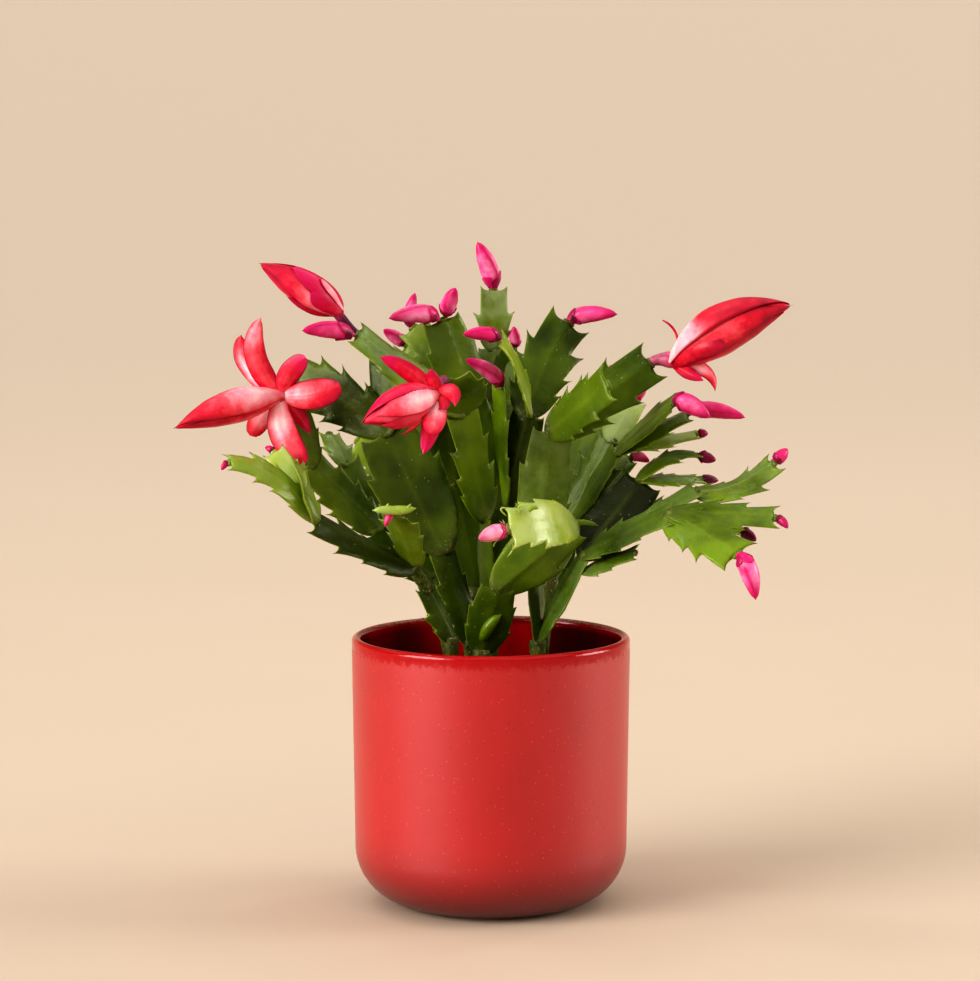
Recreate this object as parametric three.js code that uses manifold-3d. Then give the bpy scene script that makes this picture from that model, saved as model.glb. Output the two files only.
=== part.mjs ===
// A christmas cactus in its pot: a red glazed cover pot, the thin nursery pot inside it,
// the soil, leafy shoots of flat toothed pads, blooms and buds.
// Millimetres, +Z up, the front of the plant towards -Y, the foot of the pot on Z = 0.

import * as THREE from "three";
import { mergeVertices } from "three/addons/utils/BufferGeometryUtils.js";
import Module from "manifold-3d";

const wasm = await Module();
wasm.setup();

// ---- Driving dimensions ----------------------------------------------------------------

const POT_RADIUS = 60;
const POT_HEIGHT = 116;
const POT_WALL = 4;
const POT_FLOOR = 5;
const POT_TAPER = 1.2;
const FOOT_RADIUS = 34;
const CORNER_RADIUS = 25;
const POT_SEGMENTS = 32;
const CORNER_STEPS = 5;
const CORNER_START = -82;
const LIP_STEPS = 4;

const NURSERY_TOP_RADIUS = 52;
const NURSERY_BOTTOM_RADIUS = 36;
const NURSERY_HEIGHT = 91;
const NURSERY_WALL = 1.2;
const NURSERY_LIP = 1.6;
const NURSERY_COLLAR = 8;
const NURSERY_BEVEL = 2;
const DRAIN_HOLES = 4;
const DRAIN_RADIUS = 4;
const DRAIN_SIDES = 10;
const DRAIN_RING_RADIUS = 25;

const REST_GAP = 0.3;
const SOIL_TOP = 91;
const SOIL_MOUND = 2;
const SOIL_CRUMB = 0.9;
const SOIL_EDGE_DROP = 4;
const SOIL_SLUMP = 1.5;
const SOIL_RINGS = 3;
const SOIL_SEGMENTS = 20;
const STEM_FOOT = 74;

const RIB_THICKNESS = 3;
const EDGE_THICKNESS = 0.9;
const SINK = 2.6;
const SEAT_GAP = 0.35;
const JOINT_SWELL = 0.4;
const STEM_DEPTH = 0.8;

// ---- Materials --------------------------------------------------------------------------

const finish = (color, roughness) => new THREE.MeshStandardMaterial({ color, roughness, metalness: 0 });
const RED_GLAZE = finish(0xb51c22, 0.32);
const NURSERY_PLASTIC = finish(0x2b2422, 0.6);
const POTTING_SOIL = finish(0x33231a, 0.95);
const PAD_GREEN = finish(0x46620f, 0.42);
const BLOOM_RED = finish(0xe0283c, 0.45);
const BUD_PINK = finish(0xd81b60, 0.4);

// ---- Growth plan ------------------------------------------------------------------------
// Every joint where one pad ends and the next begins, x, y, z. A joint's letter tells its
// shoot: a left low, b left back, d left tall, e centre, f front, g back tall,
// h right back, r and s the two halves of the right one, k, m, n the back of the plant.

const JOINTS = {
  a_foot: [-15, -6, STEM_FOOT], a0: [-17, -8, 116], a1: [-28, -14, 139], a2: [-33, -18, 148],
  a3: [-74, -42, 171], a4: [-108, -54, 196], a5: [-82, -34, 194], a6: [-80, -38, 184],
  a7: [-91, -30, 198], a8: [-41, -46, 174],

  b_foot: [-16, 12, STEM_FOOT], b0: [-18, 14, 111], b1: [-27, 22, 139], b2: [-50, 20, 160],
  b3: [-78, 8, 189], b4: [-83, -2, 214], b5: [-64, 26, 188], b6: [-71, 34, 200],

  d_foot: [-8, 3, STEM_FOOT], d0: [-9, 4, 113], d1: [-21, 1, 152], d2: [-45, -2, 204],
  d3: [-85, 20, 226], d4: [-46, 8, 234],

  e_foot: [-2, 12, STEM_FOOT], e1: [-3, 10, 130], e2: [-3, 3, 167], e3: [-13, -12, 213],
  e4: [-19, -32, 228], e5: [-57, -14, 247],

  f_foot: [-5, -12, STEM_FOOT], f0: [-4, -12, 111], f1: [3, -20, 139], f2: [35, -22, 166],
  f3: [7, -66, 170],

  r_foot: [21, -7, STEM_FOOT], r0: [20, -6, 114], r1: [19, -4, 152], r2: [26, -10, 205],
  r3: [49, -36, 227], r4: [68, -6, 234],

  s1: [40, -14, 153], s2: [76, -32, 172],
  s3: [119, -36, 171], s4: [102, -56, 158], s5: [105, -22, 164], s6: [41, -16, 146],
  s7: [61, -26, 155], s8: [65, 0, 183], s9: [89, 8, 193], s10: [91, 16, 182],
  s11: [88, -8, 180], s12: [121, -4, 191],

  g_foot: [-3, 24, STEM_FOOT], g0: [3, 22, 133], g1: [6, 20, 170], g2: [4, 12, 222],
  g3: [3, 32, 215], g4: [1, 38, 238], g5: [1, 40, 263], g6: [-9, 20, 216], g7: [-21, 18, 251],
  g8: [-34, 30, 247], g9: [16, 10, 211], g10: [4, 2, 243],
  g12: [34, 30, 249], g13: [10, 40, 237], g14: [-37, 34, 239],

  h_foot: [19, 14, STEM_FOOT], h0: [26, 14, 140], h1: [35, 20, 163], h2: [53, 18, 199],
  h3: [62, 28, 215], h4: [55, 11, 195], h5: [78, -8, 217], h6: [85, 2, 212], h7: [89, 12, 202],
  h9: [61, 26, 190],

  k_foot: [-14, 26, STEM_FOOT], k0: [-22, 40, 125], k1: [-30, 62, 170], k2: [-42, 92, 205],
  k3: [-60, 66, 194],

  m_foot: [20, 26, STEM_FOOT], m0: [24, 36, 125], m1: [34, 58, 170], m2: [48, 90, 208],
  m3: [60, 62, 188],

  n_foot: [-8, 36, STEM_FOOT], n0: [-6, 44, 130], n1: [2, 68, 178], n2: [-8, 98, 214],
  n3: [20, 92, 224], n4: [-16, 42, 178], n5: [-20, 40, 214],
};

const FRONT = [0, -1, 0];

// A stem is [from, to, width]; a shoot's first one stands in the soil.
// A pad is [from, to, width, the way its face looks, how far its middle bows aside, its kind];
// a pad with no kind has sharp teeth.
const SHOOTS = {
  shoot_left_low: {
    stems: [["a_foot", "a0", 8], ["a1", "a2", 8]],
    pads: [
      ["a0", "a1", 14, [0.8, -0.6, 0]],
      ["a2", "a3", 21, [0, -0.6, 0.8], [0, 0, -1]],
      ["a3", "a4", 16, [-0.2, -0.55, 0.8], [0, 0, 6]],
      ["a3", "a5", 20, [1, -0.2, 0.3]],
      ["a6", "a7", 13, [0.2, -1, 0.2]],
      ["a2", "a8", 18, [-0.3, -0.9, 0.35], [0, 0, 3]],
    ],
  },
  shoot_left_back: {
    stems: [["b_foot", "b0", 7]],
    pads: [
      ["b0", "b1", 15, [0.5, -0.8, 0], undefined, "smooth"],
      ["b1", "b2", 20, [0, -0.8, 0.5]],
      ["b2", "b3", 20, [-0.1, -0.85, 0.5]],
      ["b3", "b4", 17, [-0.3, -0.9, 0.1], undefined, "broad"],
      ["b2", "b5", 20, [0.1, -0.8, 0.5]],
      ["b5", "b6", 18, [0.4, -0.3, 0.85]],
    ],
  },
  shoot_left_tall: {
    stems: [["d_foot", "d0", 8]],
    pads: [
      ["d0", "d1", 17, [0.5, -0.85, 0]],
      ["d1", "d2", 34, [0.1, -1, 0.1], undefined, "broad"],
      ["d2", "d3", 25, FRONT, [-3, 0, 4]],
      ["d2", "d4", 18, [-0.5, -0.85, 0]],
    ],
  },
  shoot_centre: {
    stems: [["e_foot", "e1", 8]],
    pads: [
      ["e1", "e2", 14, [-0.9, -0.5, 0], undefined, "smooth"],
      ["e2", "e3", 22, [0.55, -0.8, 0.1]],
      ["e3", "e4", 32, FRONT, undefined, "broad"],
      ["e3", "e5", 24, [0.3, -0.5, 0.8], undefined, "broad"],
    ],
  },
  shoot_front: {
    stems: [["f_foot", "f0", 10]],
    pads: [
      ["f0", "f1", 21, [0.1, -1, 0], undefined, "broad"],
      ["f1", "f2", 28, [0.1, -1, -0.2], undefined, "broad"],
      ["f2", "f3", 22, [0.6, -0.6, 0.35], [2, -11, 3], "smooth"],
    ],
  },
  shoot_right: {
    stems: [["r_foot", "r0", 10]],
    pads: [
      ["r0", "r1", 14, [0.9, -0.5, 0], undefined, "smooth"],
      ["r1", "r2", 24, FRONT, undefined, "broad"],
      ["r2", "r3", 22, [-0.1, -0.9, 0.45]],
      ["r2", "r4", 24, [0, -1, 0.3]],
      ["r0", "s1", 15, [-0.8, -0.45, 0.4], undefined, "smooth"],
      ["s1", "s2", 20, [-0.2, -0.55, 0.8]],
      ["s6", "s7", 14, [0, -0.5, 0.85]],
      ["s2", "s3", 20, [0, -0.5, 0.85]],
      ["s2", "s4", 26, [0.2, -0.8, 0.5]],
      ["s2", "s5", 13, [0, -0.3, 0.95], undefined, "smooth"],
      ["s1", "s8", 26, [-0.3, -0.8, 0.45], undefined, "broad"],
      ["s8", "s9", 16, [-0.3, -0.25, 0.9], [0, 0, 4]],
      ["s8", "s10", 14, [0, -0.35, 0.95]],
      ["s1", "s11", 20, [-0.3, -0.35, 0.85]],
      ["s11", "s12", 20, [-0.1, -0.4, 0.9], [0, 0, -5]],
    ],
  },
  shoot_back_tall: {
    stems: [["g_foot", "g0", 8]],
    pads: [
      ["g0", "g1", 16, [0.3, -0.9, 0], undefined, "smooth"],
      ["g1", "g2", 18, [-0.85, -0.4, 0]],
      ["g1", "g3", 22, [0.2, -0.9, 0], undefined, "smooth"],
      ["g3", "g4", 18, FRONT, undefined, "smooth"],
      ["g4", "g5", 17, [0.3, -0.95, 0]],
      ["g1", "g6", 20, [0.3, -0.9, 0], undefined, "smooth"],
      ["g6", "g7", 24, [0.3, -0.9, 0.1], undefined, "broad"],
      ["g6", "g8", 20, [0.2, -1, 0]],
      ["g1", "g9", 20, [-0.3, -0.9, 0], undefined, "smooth"],
      ["g9", "g10", 18, [0.75, -0.3, 0.6], [2, 0, 2]],
      ["g9", "g12", 26, FRONT, [-2, 0, 1]],
      ["g6", "g14", 14, FRONT, undefined, "smooth"],
      ["g3", "g13", 16, [0.4, -0.9, 0], undefined, "smooth"],
    ],
  },
  shoot_right_back: {
    stems: [["h_foot", "h0", 7]],
    pads: [
      ["h0", "h1", 14, [0.6, -0.7, 0.2], undefined, "smooth"],
      ["h1", "h2", 22, [-0.3, -0.8, 0.5]],
      ["h2", "h3", 16, [-0.2, -0.9, 0.2]],
      ["h1", "h4", 16, [-0.6, -0.5, 0.6], undefined, "smooth"],
      ["h4", "h5", 20, [-0.2, -0.5, 0.85], undefined, "broad"],
      ["h4", "h6", 18, [0, -0.4, 0.9]],
      ["h4", "h7", 14, [0, -0.3, 0.95]],
      ["h1", "h9", 16, [-0.3, -0.5, 0.8], undefined, "smooth"],
    ],
  },
  shoot_behind_left: {
    stems: [["k_foot", "k0", 8]],
    pads: [
      ["k0", "k1", 20, [-0.2, 0.6, 0.8], undefined, "broad"],
      ["k1", "k2", 26, [-0.2, 0.5, 0.8]],
      ["k1", "k3", 22, [-0.4, 0.6, 0.7]],
    ],
  },
  shoot_behind_right: {
    stems: [["m_foot", "m0", 8]],
    pads: [
      ["m0", "m1", 20, [0.2, 0.6, 0.8], undefined, "broad"],
      ["m1", "m2", 26, [0.2, 0.5, 0.8]],
      ["m1", "m3", 22, [0.4, 0.6, 0.7]],
    ],
  },
  shoot_behind_middle: {
    stems: [["n_foot", "n0", 8]],
    pads: [
      ["n0", "n1", 20, [0.1, 0.8, 0.6], undefined, "broad"],
      ["n0", "n4", 22, FRONT, undefined, "broad"],
      ["n4", "n5", 22, FRONT, undefined, "smooth"],
      ["n1", "n2", 26, [-0.1, 0.7, 0.7]],
      ["n1", "n3", 22, [0.3, 0.8, 0.4]],
    ],
  },
};

// A bud is [the shoot that carries it, the joint it sits on, its tip, its width, and how far
// its foot stands from that joint when two share it].
const BUDS = {
  bud_top: ["shoot_back_tall", "g5", [-6, 38, 284], 8.6],
  bud_top_right: ["shoot_back_tall", "g12", [55, 24, 253], 7.8],
  bud_trio_left: ["shoot_back_tall", "g7", [-44, 8, 252], 8.6, [-3, -2, 0]],
  bud_trio_right: ["shoot_back_tall", "g7", [-15, 12, 265], 7.4, [3, 1, 0]],
  bud_trio_back: ["shoot_back_tall", "g8", [-33, 32, 262], 6],
  bud_half_hidden: ["shoot_back_tall", "g14", [-47, 30, 246], 6],
  bud_arched: ["shoot_back_tall", "g10", [-12, -6, 246], 6.4],
  bud_inner: ["shoot_back_tall", "g2", [-11, 2, 235], 7.3],
  bud_behind: ["shoot_back_tall", "g13", [10, 38, 247], 5.2],
  bud_beside_bloom: ["shoot_centre", "e5", [-79, -30, 249], 7.8, [0.5, -4, -2.5]],
  bud_pair_left: ["shoot_right_back", "h5", [93, -14, 211], 8.6],
  bud_pair_right: ["shoot_right_back", "h6", [109, 0, 210], 7.3],
  bud_round: ["shoot_right_back", "h3", [68, 30, 221], 5.6],
  bud_brown: ["shoot_right_back", "h7", [94, 12, 202], 3.9],
  bud_short: ["shoot_right_back", "h9", [69, 20, 189], 4.8],
  bud_purple: ["shoot_right", "s9", [97, 6, 191], 5.2],
  bud_dark: ["shoot_right", "s10", [99, 18, 181], 4.3],
  bud_far_right: ["shoot_right", "s12", [127, -2, 197], 5.6],
  bud_low_right: ["shoot_right", "s3", [124, -40, 167], 3.9],
  bud_low_dark: ["shoot_right", "s5", [112, -26, 160], 4.8],
  bud_hanging: ["shoot_right", "s4", [109, -62, 140], 8.2],
  bud_front: ["shoot_front", "f3", [-5, -76, 167], 6.9],
  bud_tiny: ["shoot_left_low", "a8", [-44, -51, 169], 3.2],
  bud_tiny_left: ["shoot_left_low", "a7", [-95, -28, 200], 3],
  bud_tip_left: ["shoot_left_low", "a4", [-111, -56, 193], 2.6],
  bud_behind_left: ["shoot_behind_left", "k2", [-48, 104, 222], 7.5],
  bud_behind_right: ["shoot_behind_right", "m2", [56, 102, 226], 7.5],
  bud_behind_middle: ["shoot_behind_middle", "n3", [24, 100, 240], 7],
};

// A bloom is a foot from its joint to its heart, a bundle of folded petals from the heart to
// the far tip, and the petals that stand open round it. Each of those is [tip, width, how far
// its middle bows aside, which way its outside looks if that isn't the way of the bow].
const BLOOMS = {
  bloom_open: {
    shoot: "shoot_left_back",
    joint: "b4",
    heart: [-90, -12, 220],
    foot_radii: [2.6, 3.6],
    far_tip: [-133, -32, 208],
    radius: 6.2,
    bow: [0, -1, 2],
    petals: [
      [[-99, -10, 253], 9, [-5, -2, 0], FRONT],
      [[-107, -2, 245], 9, [-5, 2, 0], FRONT],
      [[-79, -18, 236], 8.5, [-1, -1, 2], FRONT],
      [[-65, -20, 224], 13, [0, -3, 1], FRONT],
      [[-80, -10, 212], 9, [2, 1, -1], FRONT],
      [[-78, -24, 192], 14, [-3, -3, 0], FRONT],
      [[-102, -4, 203], 9, [-1, 1, -1], FRONT],
    ],
  },
  bloom_top_left: {
    shoot: "shoot_centre",
    joint: "e5",
    heart: [-65, -12, 256],
    foot_radii: [2.2, 2.6],
    far_tip: [-98, -20, 277],
    radius: 6.8,
    bow: [1, 0, 1],
    petals: [
      [[-86, -20, 263], 9, [-2, -1, -3]],
      [[-75, -21, 265], 9, [0, -3, 0], FRONT],
      [[-80, -10, 273], 9, [3, 1, 3]],
      [[-83, -3, 268], 9, [0, 3, 0]],
    ],
  },
  bloom_centre: {
    shoot: "shoot_centre",
    joint: "e4",
    heart: [-24, -46, 223],
    foot_radii: [2.6, 3.6],
    far_tip: [-53, -64, 213],
    radius: 8,
    bow: [0, -2, 1],
    petals: [
      [[-46, -52, 240], 9.5, [0, -2, 2], FRONT],
      [[-25, -50, 234], 8, [1, -1, 0], FRONT],
      [[-14, -56, 221], 8, [2, -3, 3], FRONT],
      [[-27, -58, 211], 9, [1, -3, 0], FRONT],
      [[-28, -62, 200], 9, [1, -4, 0], FRONT],
      [[-37, -46, 207], 9, [1, 3, -3]],
    ],
  },
  bloom_right: {
    shoot: "shoot_right",
    joint: "r4",
    heart: [79, -8, 234],
    foot_radii: [2, 3.6],
    far_tip: [128, -14, 259],
    radius: 9,
    bow: [-2, -1, 4],
    petals: [
      [[98, -22, 240], 11, [0, -4, 1], FRONT],
      [[73, -4, 252], 5, [4, 0, 2]],
      [[95, -12, 222], 8, [4, -1, 3], [0.4, -0.9, 0.2]],
      [[90, -16, 226], 7, [1, -2, -1]],
    ],
  },
};

// ---- Closed skins -----------------------------------------------------------------------

const point = (p) => new THREE.Vector3(p[0], p[1], p[2]);

// A solid from rings of points that turn right-handed round the way they run; a tip closes it.
function skin(rings, tip) {
  const sides = rings[0].length;
  const points = rings.flat();
  const faces = [];
  for (let r = 0; r + 1 < rings.length; r += 1) {
    for (let s = 0; s < sides; s += 1) {
      const a = r * sides + s;
      const b = r * sides + ((s + 1) % sides);
      faces.push(a, b, b + sides, a, b + sides, a + sides);
    }
  }
  const last = (rings.length - 1) * sides;
  for (let s = 1; s + 1 < sides; s += 1) {
    faces.push(0, s + 1, s);
  }
  if (tip) {
    points.push(tip);
    for (let s = 0; s < sides; s += 1) {
      faces.push(last + s, last + ((s + 1) % sides), points.length - 1);
    }
  } else {
    for (let s = 1; s + 1 < sides; s += 1) {
      faces.push(last, last + s, last + s + 1);
    }
  }
  return new wasm.Manifold(
    new wasm.Mesh({
      numProp: 3,
      vertProperties: new Float32Array(points.flatMap((p) => [p.x, p.y, p.z])),
      triVerts: new Uint32Array(faces),
    }),
  );
}

// The solid of a closed three.js geometry.
function solidOf(geometry) {
  const bare = geometry.clone();
  bare.deleteAttribute("normal");
  bare.deleteAttribute("uv");
  const merged = mergeVertices(bare, 1e-4);
  return new wasm.Manifold(
    new wasm.Mesh({
      numProp: 3,
      vertProperties: new Float32Array(merged.attributes.position.array),
      triVerts: new Uint32Array(merged.index.array),
    }),
  );
}

function meshOf(name, solid, material) {
  const { vertProperties, triVerts, numProp } = solid.getMesh();
  const positions = new Float32Array((vertProperties.length / numProp) * 3);
  for (let i = 0; i < positions.length; i += 1) {
    positions[i] = vertProperties[Math.floor(i / 3) * numProp + (i % 3)];
  }
  const geometry = new THREE.BufferGeometry();
  geometry.setAttribute("position", new THREE.BufferAttribute(positions, 3));
  geometry.setIndex(new THREE.BufferAttribute(new Uint32Array(triVerts), 1));
  geometry.computeVertexNormals();
  const mesh = new THREE.Mesh(geometry, material);
  mesh.name = name;
  return mesh;
}

// A curved line between two points whose middle stands aside by the bow.
function spineBetween(from, to, bow = [0, 0, 0]) {
  const middle = from.clone().add(to).multiplyScalar(0.5);
  middle.addScaledVector(point(bow), 2);
  return new THREE.QuadraticBezierCurve3(from, middle, to);
}

// The directions along, across and out of a blade at one place of its spine.
function bladeFrame(spine, u, face) {
  const along = spine.getTangent(u);
  const out = point(face).addScaledVector(along, -point(face).dot(along)).normalize();
  const across = out.clone().cross(along);
  return { along, out, across };
}

// ---- Pads and stems ---------------------------------------------------------------------

// Outline of a pad: how far along, half its width, and how far its edge runs ahead of the rib.
// Two teeth a side and a horn at each corner of the tip.
const PAD_OUTLINE = [
  [0, 0.2, 0],
  [0.26, 0.74, 0],
  [0.38, 1.04, 0.08],
  [0.45, 0.78, 0.01],
  [0.62, 1.04, 0.1],
  [0.7, 0.76, 0.02],
  [0.9, 0.66, 0.18],
  [1, 0.22, 0],
];
// An older pad: broad, with blunt teeth and a nearly square tip.
const BROAD_OUTLINE = [
  [0, 0.26, 0],
  [0.2, 0.86, 0],
  [0.42, 1.04, 0.04],
  [0.5, 0.92, 0],
  [0.74, 1, 0.05],
  [0.82, 0.82, 0.01],
  [1, 0.5, 0],
];
const SMOOTH_OUTLINE = [
  [0, 0.44, 0],
  [0.2, 0.86, 0],
  [0.45, 1, 0],
  [0.75, 0.98, 0],
  [1, 0.72, 0],
];
const STEM_OUTLINE = [
  [0, 1, 0],
  [0.45, 0.8, 0],
  [1, 1, 0],
];
const TOOTH_STAGGER = 0.03;
const EDGE_SHARE = 0.08;

// A blade from one joint to the next, its root sunk back into what it grows from.
function bladeSolid(from, to, width, face, bow, outline, thickness, grow = 0) {
  const way = to.clone().sub(from).normalize();
  const start = from.clone().addScaledVector(way, -SINK - grow);
  const end = to.clone().addScaledVector(way, grow);
  const spine = spineBetween(start, end, bow);
  const length = start.distanceTo(end);
  const rings = outline.map(([u, half, ahead], row) => {
    const { along, out, across } = bladeFrame(spine, u, face);
    const centre = spine.getPoint(u);
    const stagger = ahead > 0 ? TOOTH_STAGGER * (row % 2 ? 1 : -1) : 0;
    const neck = row === 0 || row === outline.length - 1 ? JOINT_SWELL : 0;
    const rib = thickness / 2 + neck + grow;
    const edge = EDGE_THICKNESS / 2 + grow + thickness * EDGE_SHARE;
    const corner = (side, level) =>
      centre
        .clone()
        .addScaledVector(across, side * ((half * width) / 2 + grow))
        .addScaledVector(along, (ahead + side * stagger) * length)
        .addScaledVector(out, level);
    const middle = (level) => centre.clone().addScaledVector(out, level);
    const upper = [corner(1, edge), middle(rib), corner(-1, edge)];
    const lower = [corner(-1, -edge), middle(-rib), corner(1, -edge)];
    return [...upper, ...lower];
  });
  return skin(rings);
}

const OUTLINES = { toothed: PAD_OUTLINE, broad: BROAD_OUTLINE, smooth: SMOOTH_OUTLINE };

function padSolid([from, to, width, face, bow, kind = "toothed"], grow) {
  const [start, end] = [point(JOINTS[from]), point(JOINTS[to])];
  return bladeSolid(start, end, width, face, bow, OUTLINES[kind], RIB_THICKNESS, grow);
}

function stemSolid([from, to, width], grow) {
  const [start, end] = [point(JOINTS[from]), point(JOINTS[to])];
  return bladeSolid(start, end, width, FRONT, undefined, STEM_OUTLINE, width * STEM_DEPTH, grow);
}

function shootSolid({ stems, pads }, grow = 0) {
  const pieces = [...stems.map((stem) => stemSolid(stem, grow)), ...pads.map((pad) => padSolid(pad, grow))];
  return pieces.reduce((all, piece) => all.add(piece));
}

// ---- Buds and blooms --------------------------------------------------------------------

const BUD_OUTLINE = [
  [0, 0.36],
  [0.14, 0.44],
  [0.36, 0.92],
  [0.6, 0.98],
  [0.86, 0.5],
];
const BUD_SIDES = 6;
const LEAN = 0.3;
const PETAL_OUTLINE = [
  [0, 0.4],
  [0.34, 0.86],
  [0.62, 1],
  [0.88, 0.6],
];
const PETAL_THICKNESS = 1.5;
const BUNDLE_OUTLINE = [
  [0, 0.42],
  [0.18, 0.78],
  [0.4, 1],
  [0.68, 0.76],
  [0.88, 0.36],
];
const FOLDED_PETALS = 4;
const FOLD_STEPS = [0.9, 1.02, 1.1];
const FOLD_TWIST = 0.08;
const UPWARD = [0.1, -0.4, 0.9];
const ASLANT = [0.3, -0.9, 0.31];
const FOOT_OVERLAP = 0.4;
const HEART_OVERLAP = 0.2;
const FOOT_OUTLINE = [
  [0, 0],
  [0.5, 0.45],
  [1, 1],
];

// A many-sided body along a curve, with its radius at each place; a tip closes its far end.
function spindle(spine, radii, sides, tip) {
  const rings = radii.map(([u, radius]) => {
    const { out, across } = bladeFrame(spine, u, ASLANT);
    const centre = spine.getPoint(u);
    return Array.from({ length: sides }, (_, s) => {
      const turn = (s / sides) * 2 * Math.PI;
      return centre
        .clone()
        .addScaledVector(across, radius * Math.cos(turn))
        .addScaledVector(out, radius * Math.sin(turn));
    });
  });
  return skin(rings, tip);
}

// Where a pad ends, and the way it runs there.
function padEnd(shoot, joint) {
  const [from, to, , , bow] = SHOOTS[shoot].pads.find((pad) => pad[1] === joint);
  const way = spineBetween(point(JOINTS[from]), point(JOINTS[to]), bow).getTangent(1);
  return { end: point(JOINTS[to]), way };
}

// The line of what grows from a pad's tip: it starts a hair's breadth off the tip, leaves it
// the way the pad runs, and leans over to its own end.
function growthLine(shoot, joint, to, aside = [0, 0, 0]) {
  const { end, way } = padEnd(shoot, joint);
  const shift = point(aside);
  shift.addScaledVector(way, SEAT_GAP - shift.dot(way));
  const foot = end.add(shift);
  const lean = foot.clone().addScaledVector(way, foot.distanceTo(to) * LEAN);
  return new THREE.QuadraticBezierCurve3(foot, lean, to);
}

function budSolid([shoot, joint, tip, width, aside]) {
  const spine = growthLine(shoot, joint, point(tip), aside);
  const radii = BUD_OUTLINE.map(([u, half]) => [u, (half * width) / 2]);
  return spindle(spine, radii, BUD_SIDES, point(tip));
}

function petalSolid(heart, [tip, width, bow, face = bow]) {
  const spine = spineBetween(heart, point(tip), bow);
  const rings = PETAL_OUTLINE.map(([u, half]) => {
    const { out, across } = bladeFrame(spine, u, face);
    const centre = spine.getPoint(u);
    const side = (half * width) / 2;
    const level = PETAL_THICKNESS / 2;
    return [
      centre.clone().addScaledVector(across, side),
      centre.clone().addScaledVector(out, level),
      centre.clone().addScaledVector(across, -side),
      centre.clone().addScaledVector(out, -level),
    ];
  });
  return skin(rings, point(tip));
}

// The folded petals of a bloom: a spindle whose side steps down at each petal's edge.
function bundleSolid(start, tip, radius, bow) {
  const spine = spineBetween(start, tip, bow);
  const sides = FOLDED_PETALS * FOLD_STEPS.length;
  const rings = BUNDLE_OUTLINE.map(([u, half]) => {
    const { out, across } = bladeFrame(spine, u, UPWARD);
    const centre = spine.getPoint(u);
    return Array.from({ length: sides }, (_, s) => {
      const turn = (s / sides + u * FOLD_TWIST) * 2 * Math.PI;
      const reach = radius * half * FOLD_STEPS[s % FOLD_STEPS.length];
      return centre
        .clone()
        .addScaledVector(across, reach * Math.cos(turn))
        .addScaledVector(out, reach * Math.sin(turn));
    });
  });
  return skin(rings, tip);
}

function bloomSolid({ shoot, joint, heart, foot_radii: [thin, thick], far_tip, radius, bow, petals }) {
  const middle = point(heart);
  const tip = point(far_tip);
  const way = tip.clone().sub(middle).normalize();
  const footEnd = middle.clone().addScaledVector(way, radius * FOOT_OVERLAP);
  const footRadii = FOOT_OUTLINE.map(([u, share]) => [u, thin + (thick - thin) * share]);
  const foot = spindle(growthLine(shoot, joint, footEnd), footRadii, BUD_SIDES);
  const start = middle.clone().addScaledVector(way, -radius * HEART_OVERLAP);
  const bundle = bundleSolid(start, tip, radius, bow);
  return petals.reduce((all, petal) => all.add(petalSolid(start, petal)), foot.add(bundle));
}

// ---- Pots and soil ----------------------------------------------------------------------

// Points of a quarter round of a profile, from one angle to another, in degrees.
function roundOf(x, z, radius, from, to, steps) {
  return Array.from({ length: steps + 1 }, (_, i) => {
    const angle = THREE.MathUtils.degToRad(from + ((to - from) * i) / steps);
    return new THREE.Vector2(x + radius * Math.cos(angle), z + radius * Math.sin(angle));
  });
}

// A closed solid of revolution about the Z axis.
function turned(profile, segments) {
  return new THREE.LatheGeometry(profile, segments).rotateX(Math.PI / 2);
}

function coverPot() {
  const lower = POT_RADIUS - POT_TAPER;
  const lip = POT_WALL / 2;
  const inner = CORNER_RADIUS - POT_WALL + 1;
  const profile = [
    new THREE.Vector2(0, 0),
    new THREE.Vector2(FOOT_RADIUS, 0),
    ...roundOf(lower - CORNER_RADIUS, CORNER_RADIUS, CORNER_RADIUS, CORNER_START, 0, CORNER_STEPS),
    ...roundOf(POT_RADIUS - lip, POT_HEIGHT - lip, lip, 0, 180, LIP_STEPS),
    ...roundOf(lower - POT_WALL - inner, POT_FLOOR + inner, inner, 0, -90, LIP_STEPS),
    new THREE.Vector2(0, POT_FLOOR),
  ];
  return solidOf(turned(profile, POT_SEGMENTS));
}

const NURSERY_BASE = POT_FLOOR + REST_GAP;
const NURSERY_FLOOR = NURSERY_BASE + NURSERY_WALL;
const NURSERY_RIM = NURSERY_BASE + NURSERY_HEIGHT;

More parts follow.
